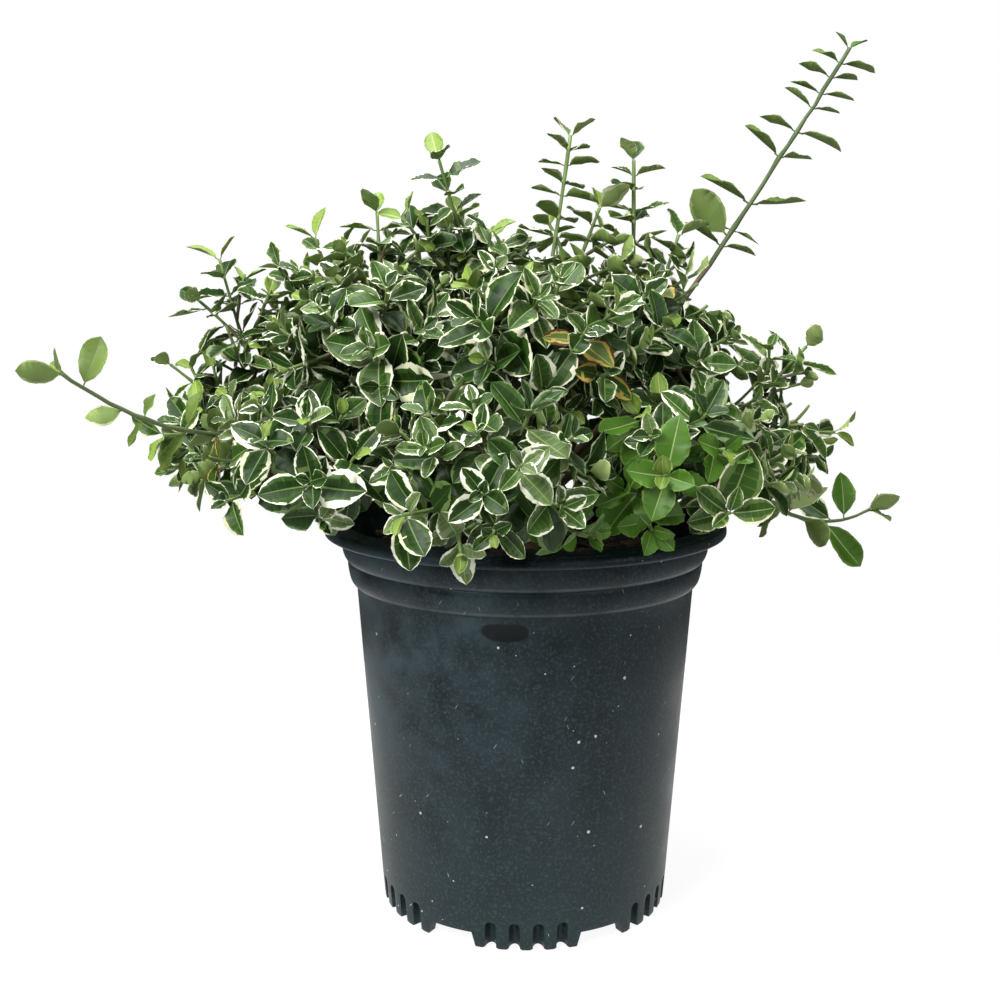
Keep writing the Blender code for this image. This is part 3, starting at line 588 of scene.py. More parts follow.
def addLimb(bm, line, radii, sides, phase):
    # a circle drawn along the line ring by ring, with ridges and node rings in the bark
    ring = bmesh.ops.create_circle(bm, cap_ends=False, segments=sides, radius=1.0)["verts"]
    corner = {vert: k for k, vert in enumerate(ring)}
    rings = []
    for k, place, side, lift in ringFrames(line, Vector((0.31, 0.95, 0.05))):
        if k:
            edges = list({edge for vert in ring for edge in vert.link_edges
                          if edge.verts[0] in ring and edge.verts[1] in ring})
            fresh = bmesh.ops.extrude_edge_only(bm, edges=edges)["geom"]
            fresh = [item for item in fresh if isinstance(item, bmesh.types.BMVert)]
            for vert in fresh:
                old = next(edge.other_vert(vert) for edge in vert.link_edges if edge.other_vert(vert) in ring)
                corner[vert] = corner[old]
            ring = fresh
        for vert in ring:
            angle = math.tau * corner[vert] / sides
            wave = noise.noise(Vector((math.cos(angle) * 2.2, math.sin(angle) * 2.2, k * 0.35 + phase)))
            swell = 1.0 + bark["ridge"] * wave + (bark["ring"] if k % 4 == 2 else 0.0)
            vert.co = place + (side * math.cos(angle) + lift * math.sin(angle)) * (radii[k] * swell)
        rings.append(ring)
    for end in (rings[0], rings[-1]):
        bmesh.ops.contextual_create(bm, geom=[edge for edge in bm.edges if edge.is_boundary
                                              and edge.verts[0] in end and edge.verts[1] in end])


def evenRadii(radii, count):
    return [blend(radii[0], radii[1], k / (count - 1)) for k in range(count)]


def closeLimbs(bm, name):
    bmesh.ops.recalc_face_normals(bm, faces=bm.faces)
    mesh = meshOf(bm, name)
    mesh.set_sharp_from_angle(angle=math.radians(60.0))
    return mesh


def buildWood():
    material = barkMaterial()
    bm = bmesh.new()
    heights = [blend(crown["soil"] + 0.0003, crown["stemTop"], k / (bark["stemRings"] - 1))
               for k in range(bark["stemRings"])]
    line = [Vector((0.0 if z < 0.215 else stemAxis(z).x, 0.0, z)) for z in heights]
    addLimb(bm, line, [stemRadius(z) for z in heights], bark["stemSides"], 0.0)
    newObject("stem_bark", closeLimbs(bm, "stem_bark"), [material], ["main_stem"], "stem_bark")
    bm = bmesh.new()
    for number, mass in enumerate(masses):
        radii = evenRadii(crown["boughRadii"], len(mass["bough"]))
        addLimb(bm, mass["bough"], radii, bark["boughSides"], 3.0 * number)
    for number, (name, runner) in enumerate(runners.items()):
        runner["bough"] = boughLine(runner["level"], Vector(runner["start"]))
        radii = evenRadii(bark["shootRadii"], len(runner["bough"]))
        addLimb(bm, runner["bough"], radii, bark["boughSides"], 70.0 + 3.0 * number)
    nodes = ["bough_" + mass["name"] for mass in masses] + ["bough_" + name for name in runners]
    newObject("bough_bark", closeLimbs(bm, "bough_bark"), [material], nodes, "bough_bark")


buildWood()
print("stem and boughs built")


# leaf colours and cuts

leafColours = {
    # name: base colour, roughness
    "bladeDeep": ((0.012, 0.036, 0.004), 0.42),
    "bladeMid": ((0.030, 0.078, 0.009), 0.43),
    "bladeSoft": ((0.098, 0.160, 0.042), 0.50),
    "bladeGrey": ((0.165, 0.225, 0.110), 0.50),
    "bladeBright": ((0.056, 0.142, 0.012), 0.42),
    "bladeLight": ((0.125, 0.220, 0.034), 0.44),
    "bladeShoot": ((0.120, 0.185, 0.034), 0.46),
    "bladeYoung": ((0.190, 0.285, 0.048), 0.45),
    "marginCream": ((0.700, 0.720, 0.490), 0.52),
    "marginWhite": ((0.800, 0.825, 0.640), 0.52),
    "marginYoung": ((0.400, 0.480, 0.170), 0.48),
    "rib": ((0.130, 0.210, 0.055), 0.48),
    "ribPale": ((0.250, 0.340, 0.120), 0.48),
    # under colours: the paler green of real leaf undersides, brightened beyond it as painted light shining through the
    # leaves
    "under": ((0.200, 0.295, 0.082), 0.60),
    "underPale": ((0.285, 0.375, 0.130), 0.60),
    "underShoot": ((0.155, 0.230, 0.062), 0.58),
    "underEdge": ((0.560, 0.610, 0.370), 0.60),
    "veinDeep": ((0.021, 0.056, 0.009), 0.46),
    "veinSoft": ((0.062, 0.118, 0.026), 0.50),
    "stalk": ((0.150, 0.215, 0.060), 0.52),
    "yellowed": ((0.430, 0.330, 0.060), 0.55),
    "browned": ((0.080, 0.035, 0.012), 0.70),
}
roles = ("margin", "splash", "outer", "inner", "patch", "rib", "under", "stalk", "vein", "underEdge")
liveries = {
    # one colour for each role above
    "dark": "marginCream marginCream bladeMid bladeDeep bladeMid rib under stalk veinDeep underEdge",
    "mid": "marginWhite bladeSoft bladeMid bladeDeep bladeSoft rib under stalk veinDeep underEdge",
    "soft": "marginWhite marginWhite bladeSoft bladeMid bladeSoft ribPale under stalk veinSoft underEdge",
    "pale": "marginWhite marginWhite bladeGrey bladeSoft bladeGrey ribPale underPale stalk bladeGrey underEdge",
    "dim": "bladeGrey bladeMid bladeMid bladeDeep bladeDeep rib under stalk veinDeep underPale",
    "fresh": "marginCream marginYoung bladeSoft bladeMid bladeLight ribPale underPale stalk veinSoft underEdge",
    "plain":
        "bladeLight bladeLight bladeBright bladeBright bladeBright ribPale underShoot stalk bladeBright underShoot",
    "green": "bladeLight bladeShoot bladeShoot bladeShoot bladeShoot rib underShoot stalk bladeShoot underPale",
    "young": "marginYoung bladeYoung bladeLight bladeYoung bladeLight marginYoung underPale stalk bladeYoung underEdge",
    "lime":
        "marginYoung bladeYoung bladeYoung bladeYoung bladeYoung marginYoung bladeYoung stalk bladeYoung marginYoung",
    "faded": "browned yellowed yellowed bladeSoft yellowed yellowed yellowed stalk bladeSoft browned",
    # painted shade: darker copies of the blade colours, dealt to leaves deep on a twig where shade falls
    "shaded": "bladeSoft bladeMid bladeDeep bladeDeep bladeMid bladeMid bladeMid stalk bladeDeep bladeMid",
    "spoiled": "browned browned yellowed bladeMid yellowed rib yellowed stalk veinDeep browned",
}
leafCut = {
    "strips": 7, "stalk": 0.09, "templates": 24, "seed": 21,
    # rows across the blade as shares of its length; each second gap is a narrow vein
    "rows": (0.0, 0.115, 0.13, 0.26, 0.275, 0.41, 0.425, 0.57, 0.585, 0.72, 0.735, 0.87, 1.0),
    "slant": 0.115, "teeth": (0.026, -0.023),
}


def leafPattern():
    # seven strips for the upper face and four for the lower one, sewn along the outline, and a stalk
    bm = bmesh.new()
    role = bm.faces.layers.int.new("role")
    part = bm.verts.layers.int.new("part")
    steps = len(leafCut["rows"]) - 1
    bmesh.ops.create_grid(bm, x_segments=leafCut["strips"], y_segments=steps, size=1.0)
    for face in bm.faces:
        middle = face.calc_center_median()
        strip = int((middle.x + 1.0) / 2.0 * leafCut["strips"])
        row = int((middle.y + 1.0) / 2.0 * steps)
        face[role] = (0, 2, 3, 5, 3, 2, 0)[strip]
        if face[role] == 3 and row % 2 and row < steps - 1:
            face[role] = 8
    upper = set(bm.faces)
    lower = bmesh.ops.create_grid(bm, x_segments=4, y_segments=steps, size=1.0)["verts"]
    under = [face for face in bm.faces if face not in upper]
    for face in under:
        face[role] = 6 if abs(face.calc_center_median().x) < 0.5 else 9
    for vert in lower:
        if abs(vert.co.x) < 0.9:
            vert[part] = 1
            vert.co.z = -0.5
    bmesh.ops.reverse_faces(bm, faces=under)
    bmesh.ops.remove_doubles(bm, verts=bm.verts, dist=0.0001)
    for end in (-1.0, 1.0):
        bmesh.ops.pointmerge(bm, verts=[vert for vert in bm.verts if abs(vert.co.y - end) < 0.001],
                             merge_co=(0.0, end, 0.0))
    before = set(bm.verts)
    bmesh.ops.create_cone(bm, cap_ends=True, segments=4, radius1=1.2, radius2=0.8, depth=2.0,
                          matrix=Matrix.Rotation(math.pi / 2, 4, "X"))
    for vert in bm.verts:
        if vert not in before:
            vert[part] = 2
            for face in vert.link_faces:
                face[role] = 7
    bm.verts.index_update()
    bm.verts.ensure_lookup_table()
    flat = np.array([(*vert.co, vert[part]) for vert in bm.verts])
    faces = [[vert.index for vert in face.verts] for face in bm.faces]
    faceRoles = np.array([face[role] for face in bm.faces])
    rims = []
    for edge in bm.edges:
        kinds = {face[role] in (6, 9) for face in edge.link_faces}
        if len(kinds) == 2:
            rims.append(sorted(vert.index for vert in edge.verts))
    rows = [face.calc_center_median().y for face in bm.faces]
    bm.free()
    return flat, faces, faceRoles, rims, rows


def wanderLine(rng, step, rows):
    # slow random walk along the leaf, so that the cream edge bulges and narrows
    values = [rng.gauss(0.0, step)]
    for k in range(rows):
        values.append(values[-1] * 0.72 + rng.gauss(0.0, step))
    return values


leafForm = {
    # least and most of each, drawn in this order; lengths are shares of the leaf's own
    "breadth": (0.48, 0.66), "skew": (0.84, 1.02), "fold": (0.06, 0.36), "droop": (-0.06, 0.24), "wave": (0.02, 0.13),
    "puff": (0.02, 0.13), "bend": (-0.10, 0.10), "twist": (-0.35, 0.35), "phase": (0.0, 1.0),
}
creamEdges = {
    # where the cream edge begins, and how freely it wanders
    "thin": (0.925, 0.018), "usual": (0.865, 0.055), "broad": (0.755, 0.095),
}


def leafShape(flat, rng, kind):
    # one leaf of length 1: y runs to its tip, z is its upper side
    breadth, skew, fold, droop, wave, puff, bend, twist, phase = (rng.uniform(*span) for span in leafForm.values())
    margin, loose = creamEdges[kind]
    places = leafCut["rows"]
    rows = len(places) - 1
    edge = {side: wanderLine(rng, loose, rows) for side in (-1, 1)}
    inner = {side: wanderLine(rng, 0.085, rows) for side in (-1, 1)}
    notch = {(side, row): rng.uniform(-0.020, 0.020) for side in (-1, 1) for row in range(rows + 1)}
    made = np.zeros((len(flat), 3))
    for k, (px, py, pz, part) in enumerate(flat):
        if part == 2:
            # stalk: a slender tapering peg from the twig into the blade
            reach = blend(-0.012, leafCut["stalk"] + 0.05, (py + 1.0) / 2.0)
            made[k] = (px * 0.016, reach, pz * 0.016 - 0.006)
            continue
        row = int(round((py + 1.0) / 2.0 * rows))
        side = -1 if px < 0 else 1
        t = places[row] + leafCut["slant"] * abs(px) * math.sin(math.pi * places[row]) ** 1.5
        body = max(math.sin(math.pi * t ** skew), 0.0)
        half = breadth / 2.0 * (body ** (0.86 if t < 0.45 else 0.62))
        column = int(round(abs(px) * 7.0))
        rib = min(0.014 * (1.25 - 0.9 * t), half * 0.3)
        cream = min(max(margin + edge[side][row], 0.40), 0.965)
        if part == 1:
            x = half * cream if abs(px) > 0.25 else 0.0
        elif column == 0:
            x = 0.0
        elif column == 1:
            x = rib
        elif column == 3:
            x = blend(rib, half * cream, min(max(0.66 + inner[side][row], 0.35), 0.90))
        elif column == 5:
            x = half * cream
        else:
            x = half * (1.0 + notch[side, row] + leafCut["teeth"][row % 2])
        s = x / half if half > 0.0001 else 0.0
        z = fold * x + puff * breadth * body * math.sin(math.pi * min(s, 1.0) * 0.75)
        z += wave * body * math.sin(math.tau * (1.4 * t + phase + 0.25 * side)) * s ** 2 * breadth
        z -= droop * t ** 2
        if column in (3, 5) and part == 0:
            z += 0.011 * body * (1 if row % 2 else -1)
        if part == 1:
            z -= 0.018 * body
        elif column == 1:
            z -= 0.006 * body
        x *= side
        made[k] = (x + bend * t ** 2, blend(leafCut["stalk"], 1.0, t), z + twist * x * t)
    return made


def leafRoles(faceRoles, rows, rng, kind):
    # cream tips, grey-green patches in the blade
    chosen = faceRoles.copy()
    creamTip = kind == "broad" and rng.random() < 0.6
    for k, role in enumerate(faceRoles):
        if role == 2 and creamTip and rows[k] > 0.62:
            chosen[k] = 0
        elif role == 2 and kind != "thin" and rng.random() < 0.03:
            chosen[k] = 1
        elif role == 3 and rng.random() < 0.05:
            chosen[k] = 4
    return chosen


def makeLeafCuts():
    rng = random.Random(leafCut["seed"])
    flat, faces, faceRoles, rims, rows = leafPattern()
    shapes, looks, kinds = [], [], []
    for number in range(leafCut["templates"]):
        kind = ("thin", "usual", "usual", "broad", "usual", "thin")[number % 6]
        shapes.append(leafShape(flat, rng, kind))
        looks.append(leafRoles(faceRoles, rows, rng, kind))
        kinds.append(kind)
    return {"shapes": np.array(shapes), "looks": np.array(looks), "kinds": kinds,
            "loops": np.array([v for face in faces for v in face]),
            "sizes": np.array([len(face) for face in faces]), "rims": rims}


def plainMaterials(colours):
    made = []
    for name, (colour, roughness) in colours.items():
        material, tree, shader = newMaterial(name)
        shader.inputs["Base Color"].default_value = (*colour, 1.0)
        shader.inputs["Roughness"].default_value = roughness
        shader.inputs["Specular IOR Level"].default_value = 0.22
        made.append(material)
    return made


cuts = makeLeafCuts()
leafMaterials = plainMaterials(leafColours)
leafSlots = {name: k for k, name in enumerate(leafColours)}
liverySlots = np.array([[leafSlots[colour] for colour in row.split()] for row in liveries.values()])
liveryNumbers = {name: k for k, name in enumerate(liveries)}
kindTemplates = {kind: [k for k, found in enumerate(cuts["kinds"]) if found == kind]
                 for kind in ("thin", "usual", "broad")}
print("leaf cuts made")


# sprays: every twig with the places of its leaf pairs

growth = {
    "fan": 50, "lowest": -0.93, "inward": -0.20, "tipRoom": 0.010, "least": 0.018, "seed": 17,
    "twigRadii": (0.0013, 0.0007), "stemRadii": (0.0020, 0.0016), "leaf": 0.0272,
    "leafRange": (0.72, 1.20),
    # distance back from the tip, rise from the twig's side in degrees, share of the full leaf
    "nodes": ((0.0004, 62.0, 0.44), (0.0040, 44.0, 0.70), (0.0095, 28.0, 0.90), (0.0165, 18.0, 1.00),
              (0.0245, 10.0, 1.02), (0.0335, 4.0, 0.98), (0.0435, 0.0, 0.92), (0.0545, 0.0, 0.90)),
    "hemRoom": 0.005, "leafyShare": 0.62, "sprigRadii": ((0.0013, 0.0008), (0.0010, 0.0007)),
    # start on the short shoot, swing to its side, length as a share of it; only on those that end low
    "companions": ((0.50, -0.75, 0.36), (0.56, 0.80, 0.34), (0.68, -0.55, 0.24)), "companionsBelow": 0.400,
    "overreach": 1.09, "margin": 0.015, "goldenTurn": math.pi * (3.0 - math.sqrt(5.0)),
    # a twig starts at the mass's middle, or on a neighbour that ends closer than leaderGap
    "reachJitter": (0.93, 1.04), "leaderGap": 0.047, "branchAt": (0.30, 0.55), "sag": (0.003, 0.010), "sway": 0.004,
}
sprigs = {
    # tip, number of pairs and leaf length of each short shoot past the dome
    "crown_top": (((-0.047, -0.022, 0.423), 7, 0.026), ((-0.020, -0.030, 0.385), 5, 0.025),
                  ((-0.066, -0.030, 0.392), 6, 0.027), ((-0.036, -0.010, 0.394), 5, 0.026)),
    "shoulder_285": (((0.024, -0.010, 0.437), 9, 0.023), ((0.040, -0.012, 0.398), 6, 0.026)),
    "shoulder_345": (((0.060, 0.004, 0.425), 8, 0.023), ((0.084, -0.010, 0.384), 5, 0.027)),
    "shoulder_225": (((-0.080, -0.030, 0.395), 6, 0.025), ((-0.100, -0.024, 0.378), 5, 0.026)),
    "shoulder_165": (((-0.119, 0.010, 0.383), 6, 0.025), ((-0.137, -0.006, 0.366), 5, 0.027)),
    "skirt_180": (((-0.172, 0.004, 0.371), 7, 0.028), ((-0.198, -0.012, 0.313), 4, 0.021),
                  ((-0.166, -0.014, 0.335), 5, 0.027), ((-0.194, -0.050, 0.278), 5, 0.026)),
    "skirt_0": (((0.160, 0.006, 0.322), 5, 0.030), ((0.174, -0.012, 0.275), 4, 0.025)),
    "skirt_90": (((0.010, 0.168, 0.322), 4, 0.028),),
    "skirt_135": (((-0.120, 0.140, 0.322), 4, 0.028),),
    "skirt_45": (((0.115, 0.128, 0.322), 4, 0.028),),
}
runnerPairs = {
    # share along the shoot, rise, leaf length
    "tall_shoot": ((0.36, 6.0, 0.025), (0.41, 10.0, 0.019), (0.52, 17.0, 0.030), (0.64, 15.0, 0.025),
                   (0.725, 14.0, 0.026), (0.80, 14.0, 0.021), (0.855, 14.0, 0.021), (0.905, 14.0, 0.019),
                   (0.95, 12.0, 0.020), (0.995, 52.0, 0.014)),
    "left_runner": ((0.36, 10.0, 0.022), (0.48, 12.0, 0.022), (0.66, 8.0, 0.018), (0.99, 62.0, 0.015)),
    "right_runner": ((0.24, 12.0, 0.030), (0.38, 14.0, 0.031), (0.52, 16.0, 0.029), (0.66, 22.0, 0.024),
                     (0.99, 50.0, 0.017)),
    "back_runner": ((0.32, 14.0, 0.030), (0.48, 20.0, 0.029), (0.64, 26.0, 0.027), (0.80, 34.0, 0.024),
                    (0.93, 44.0, 0.021), (0.99, 60.0, 0.016)),
}


def jitter(rng, most):
    return Vector([rng.uniform(-most, most) for axis in range(3)])


def lineLength(points):
    return sum((b - a).length for a, b in zip(points, points[1:]))


def alongLine(points, distance):
    # the point and heading at a distance from the line's start
    for a, b in zip(points, points[1:]):
        step = (b - a).length
        if distance <= step or b is points[-1]:
            share = min(max(distance / step, 0.0), 1.0)
            return a.lerp(b, share), (b - a).normalized()
        distance -= step


def fanDirections(mass, rng):
    # golden-angle fan from straight up downwards, without the sides that face the crown's heart
    outward = (mass["centre"] - Vector((crown["lean"], 0.0, crown["heart"]))).normalized()
    chosen = []
    first = rng.uniform(0.0, math.tau)
    for k in range(growth["fan"]):
        height = 1.0 - 2.0 * (k + 0.5) / growth["fan"]
        if height < growth["lowest"]:
            break
        turn = first + growth["goldenTurn"] * k + rng.uniform(-0.18, 0.18)
        flat = math.sqrt(1.0 - height ** 2)
        direction = Vector((flat * math.cos(turn), flat * math.sin(turn), height))
        if direction.dot(outward) >= growth["inward"]:
            chosen.append(direction)
    return chosen


def massSprays(mass, number):
    rng = random.Random(growth["seed"] * 1000 + number)
    centre = mass["centre"]
    heading = (mass["bough"][-1] - mass["bough"][-2]).normalized()
    start = mass["bough"][-1] - heading * 0.001
    stem = [start] + arc(start + heading * 0.007, (start + heading * 0.014).lerp(centre, 0.5), centre, 6)
    made = [{"line": stem, "radii": growth["stemRadii"], "nodes": (), "mass": mass, "kind": "stem", "rng": rng}]
    leaders = []
    for direction in fanDirections(mass, rng):
        reach = reachAlong(mass, centre, direction, growth["margin"]) - growth["tipRoom"]
        reach *= rng.uniform(*growth["reachJitter"])
        if reach < growth["least"]:
            continue
        end = centre + direction * reach
        if end.z < hemLevel(end) + growth["hemRoom"]:
            continue
        near = min(leaders, key=lambda item: (item["end"] - end).length, default=None)
        if near is None or (near["end"] - end).length > growth["leaderGap"]:
            base = centre
        else:
            base = alongLine(near["line"], lineLength(near["line"]) * rng.uniform(*growth["branchAt"]))[0]
        middle = base.lerp(end, 0.55) - up * rng.uniform(*growth["sag"])
        middle += jitter(rng, growth["sway"])
        line = arc(base, middle, end, 7)
        spray = {"line": line, "radii": growth["twigRadii"], "nodes": growth["nodes"], "mass": mass,
                 "kind": "twig", "rng": rng, "end": end,
                 "leaf": growth["leaf"] * rng.uniform(*growth["leafRange"])}
        if base is centre:
            leaders.append(spray)
        made.append(spray)
    for tip, pairs, leaf in sprigs.get(mass["name"], ()):
        tip = Vector(tip)
        middle = (centre + tip) / 2 + up * 0.006 + Vector((tip - centre).xy.to_3d()) * 0.12
        line = arc(centre, middle, tip, 12)
        length = lineLength(line)
        nodes = []
        for k in range(pairs):
            share = 1.0 - k / max(pairs - 1, 1)
            back = (1.0 - share ** 0.85) * length * growth["leafyShare"] + 0.0005
            rise = blend(4.0, 34.0, share ** 2.0) if k else 58.0
            nodes.append((back, rise, blend(1.15, 0.66, share ** 1.6) if k else 0.70))
        made.append({"line": line, "radii": growth["sprigRadii"][0], "nodes": nodes, "mass": mass, "kind": "sprig",
                     "rng": rng, "end": tip, "leaf": leaf})
        for start, swing, share in growth["companions"] if tip.z < growth["companionsBelow"] else ():
            # shorter shoots that leave the first one low down
            base, heading = alongLine(line, length * start)
            away = heading.cross(Vector((0.0, 1.0, 0.0))).normalized() * swing
            end = base + (heading + away + jitter(rng, 0.2)).normalized() * (length * share)
            made.append({"line": arc(base, base.lerp(end, 0.5) + heading * 0.003, end, 7),
                         "radii": growth["sprigRadii"][1], "nodes": growth["nodes"][1:5], "mass": mass,
                         "kind": "sprig", "rng": rng, "end": end, "leaf": leaf * 0.85})
    return made


def runnerSprays():
    made = []
    for number, (name, runner) in enumerate(runners.items()):
        rng = random.Random(growth["seed"] * 100 + number)
        bough = runner["bough"]
        heading = (bough[-1] - bough[-2]).normalized()
        start = bough[-1] - heading * 0.001
        tip = Vector(runner["tip"])
        first = start + heading * 0.008
        line = [start] + arc(first, (first + tip) / 2 + up * (2 * runner["bend"]), tip, 22)
        for k in range(3, len(line) - 1):
            # slight change of direction at each node
            line[k] = line[k] + jitter(rng, 0.0005)
        length = lineLength(line)
        nodes = [(length * (1.0 - share), rise, size) for share, rise, size in reversed(runnerPairs[name])]
        made.append({"line": line, "radii": (0.0017, 0.0009), "nodes": nodes, "mass": None, "kind": "runner",
                     "name": name, "rng": rng, "end": tip, "leaf": 1.0})
    return made


sprays = runnerSprays()
for number, mass in enumerate(masses):
    sprays += massSprays(mass, number)
print("sprays laid out:", len(sprays))


# looks dealt out by spray

# sprays and single leaves that stand out in the photo, and the sky that shows through the crown
spotted = (
    # place in the picture, look, size of its leaves
    ((455, 282), "lime", 0.95), ((625, 410), "plain", 1.30), ((640, 520), "plain", 1.10), ((660, 460), "plain", 0.92),
    ((590, 520), "plain", 1.15),
    ((565, 380), "soft", 1.05), ((365, 365), "soft", 1.10), ((375, 470), "soft", 1.10), ((495, 470), "mid", 1.0),
    ((545, 215), "soft", 0.95), ((690, 495), "fresh", 1.05), ((740, 450), "plain", 1.10), ((400, 380), "dark", 1.1),
    ((430, 450), "soft", 1.0), ((560, 500), "soft", 1.0), ((668, 258), "faded", 1.0), ((575, 330), "faded", 1.0),
    ((617, 345), "spoiled", 1.0), ((160, 463), "spoiled", 0.9), ((700, 355), "soft", 1.0), ((320, 480), "mid", 1.0),
    ((500, 330), "dark", 1.15),
)
sky = (
    # place and radius in the picture; leaves of the masses keep out of it
    ((708, 292), 25), ((738, 396), 18), ((802, 405), 22), ((740, 530), 20), ((775, 538), 22), ((500, 210), 17),
    ((368, 268), 11), ((590, 283), 11), ((205, 318), 11), ((310, 530), 13), ((825, 395), 14),
)
singles = (
    # shoot's name or picture place of a twig's tip, share along, the leaf's heading, its upper side, length, look
    ("tall_shoot", 0.385, (-0.68, -0.10, 0.72), (0.25, 0.93, 0.20), 0.034, "green"),
    ("right_runner", 0.76, (0.70, -0.30, -0.62), (0.50, -0.70, 0.50), 0.037, "plain"),
    ("right_runner", 0.56, (0.74, -0.50, 0.44), (-0.15, 0.80, 0.55), 0.030, "fresh"),
    ("right_runner", 0.86, (0.02, -0.10, 0.99), (0.20, -0.97, 0.10), 0.030, "plain"),
    ("right_runner", 0.80, (-0.66, -0.30, 0.68), (-0.10, -0.92, 0.38), 0.028, "dark"),
    ("right_runner", 0.985, (0.80, -0.05, 0.58), (0.15, 0.90, 0.30), 0.022, "green"),
    ("left_runner", 0.985, (-0.97, 0.0, 0.12), (-0.10, 0.85, 0.45), 0.022, "green"),
    ("left_runner", 0.91, (0.38, 0.0, 0.92), (-0.30, -0.90, 0.20), 0.026, "green"),
    ("left_runner", 0.75, (-0.90, -0.10, -0.28), (-0.20, 0.90, -0.30), 0.019, "soft"),
    ((372, 515), 0.97, (0.02, -0.34, -0.94), (0.10, -0.93, 0.34), 0.026, "mid"),
    ((462, 525), 0.97, (-0.08, -0.74, -0.67), (0.0, -0.67, 0.74), 0.033, "soft"),
    ((400, 515), 0.97, (0.30, -0.74, -0.60), (0.0, -0.63, 0.78), 0.026, "dark"),
)


dealing = {
    # how often each look is dealt; plain is for the right side and its end
    "twigs": {"dark": 17, "dim": 12, "mid": 28, "soft": 20, "pale": 9, "fresh": 12},
    "plainFrom": ((0.13, 18), (0.02, 3), (-1.0, 0)), "sprigs": ("fresh", "fresh", "soft", "mid"),
    "frontFirst": 420.0,
}


def missFrom(place, spray):
    # how far a spray's tip is from a place in the picture, less for those in front
    x, y = pixelOf(spray["end"])
    return math.hypot(x - place[0], y - place[1]) + dealing["frontFirst"] * spray["end"].y


def dealLooks():
    for spray in sprays:
        rng = spray["rng"]
        if not spray["nodes"]:
            continue
        if spray["kind"] == "runner":
            spray["look"] = "fresh" if spray["name"] == "back_runner" else "green"
        elif spray["kind"] == "sprig":
            spray["look"] = rng.choice(dealing["sprigs"])
        else:
            plain = next(often for least, often in dealing["plainFrom"] if spray["end"].x > least)
            often = {**dealing["twigs"], "plain": plain}
            spray["look"] = rng.choices(list(often), list(often.values()))[0]
        rng.random()  # a spare draw, kept so that the later ones stay as they are
    free = [spray for spray in sprays if spray["kind"] == "twig"]
    for place, look, size in spotted:
        best = min(free, key=lambda spray: missFrom(place, spray))
        free.remove(best)
        best["look"] = look
        best["leaf"] *= size
        best["spotted"] = True


dealLooks()


# leaves

leafTries = {"roll": 0.26, "riseJitter": 11.0, "lengths": (0.76, 1.16), "tries": 5, "cell": 0.036,
             "near": 0.038, "bareFrom": 0.86,
             "level": ("tall_shoot", "left_runner"), "tilt": {"tall_shoot": 15.0},
             "light": {"twig": 0.14, "sprig": 0.13, "runner": 0.10}, "front": (0.0, -2.2, 0.0)}


def sheetOf(root, along, face, length):
    # coarse stand-in for a blade, to keep leaves out of each other
    side = along.cross(face)
    low, high = length * 0.27, length * 0.21
    marks = [root + along * (0.17 * length)]
    for place, half in ((0.45, low), (0.78, high)):
        spot = root + along * (place * length) - face * (0.05 * place ** 2 * length)
        marks += [spot - side * half + face * (0.3 * half), spot, spot + side * half + face * (0.3 * half)]
    marks.append(root + along * length - face * (0.10 * length))
    faces = [(0, 2, 1), (0, 3, 2), (1, 2, 5), (1, 5, 4), (2, 3, 6), (2, 6, 5), (4, 5, 7), (5, 6, 7)]
    return BVHTree.FromPolygons([tuple(mark) for mark in marks], faces), marks


def ringPoints(place, side, lift, radius, corners):
    angles = [math.tau * corner / corners for corner in range(corners)]
    return [tuple(place + (side * math.cos(angle) + lift * math.sin(angle)) * radius) for angle in angles]


def wallFaces(start, corners):
    # faces between the ring that begins at start and the one before it
    pairs = [(start - corners + corner, start - corners + (corner + 1) % corners) for corner in range(corners)]
    return [(a, b, b + corners, a + corners) for a, b in pairs]


def twigTree():
    # coarse stand-in for all twigs
    verts, faces = [], []
    for spray in sprays:
        radii = evenRadii(spray["radii"], len(spray["line"]))
        for k, place, side, lift in ringFrames(spray["line"], carried=False):
            if k:
                faces += wallFaces(len(verts), 3)
            verts += ringPoints(place, side, lift, radii[k], 3)
    return BVHTree.FromPolygons(verts, faces)


def underSky(place):
    x, y = pixelOf(place)
    return any(math.hypot(x - px, y - py) < radius for (px, py), radius in sky)


def allowedLeaf(spray, marks):
    if any(inPotZone(mark) for mark in marks):
        return False
    if spray["kind"] != "runner" and (underSky(marks[-1]) or underSky(marks[2])):
        return False
    if spray["kind"] in ("runner", "sprig"):
        return True
    tip = marks[-1]
    if not spray.get("hangs") and min(mark.z for mark in marks) < hemLevel(tip):
        return False
    return min(spread(mass, tip) for mass in masses) <= growth["overreach"]


def placeLeaf(spray, spot, along, face, length, placed, woods):
    # keeps the leaf if it has room
    along = (along - face * along.dot(face)).normalized()
    sheet, marks = sheetOf(spot, along, face, length)
    if not allowedLeaf(spray, marks):
        return None
    middle = marks[2]
    cell = leafTries["cell"]
    home = tuple(int(math.floor(c / cell)) for c in middle)
    for step in product((-1, 0, 1), repeat=3):
        for other, centre in placed.get(tuple(a + b for a, b in zip(home, step)), ()):
            if (centre - middle).length < leafTries["near"] and sheet.overlap(other):
                return None
    if sheet.overlap(woods):
        return None
    placed.setdefault(home, []).append((sheet, middle))
    return spot, along, face, length


def growLeaf(spray, spot, heading, turn, rise, length, placed, woods):
    side = heading.orthogonal().normalized()
    outward = side * math.cos(turn) + heading.cross(side) * math.sin(turn)
    along = outward * math.cos(rise) + heading * math.sin(rise)
    face = heading * math.cos(rise) - outward * math.sin(rise)
    # the blade turns its face to the light
    sun = (spot - Vector((crown["lean"], 0.0, crown["heart"]))).normalized() + up * 0.8
    if spray["kind"] != "twig":
        sun += Vector(leafTries["front"])
    face = (face + sun * leafTries["light"][spray["kind"]]).normalized()
    return placeLeaf(spray, spot, along, face, length, placed, woods)


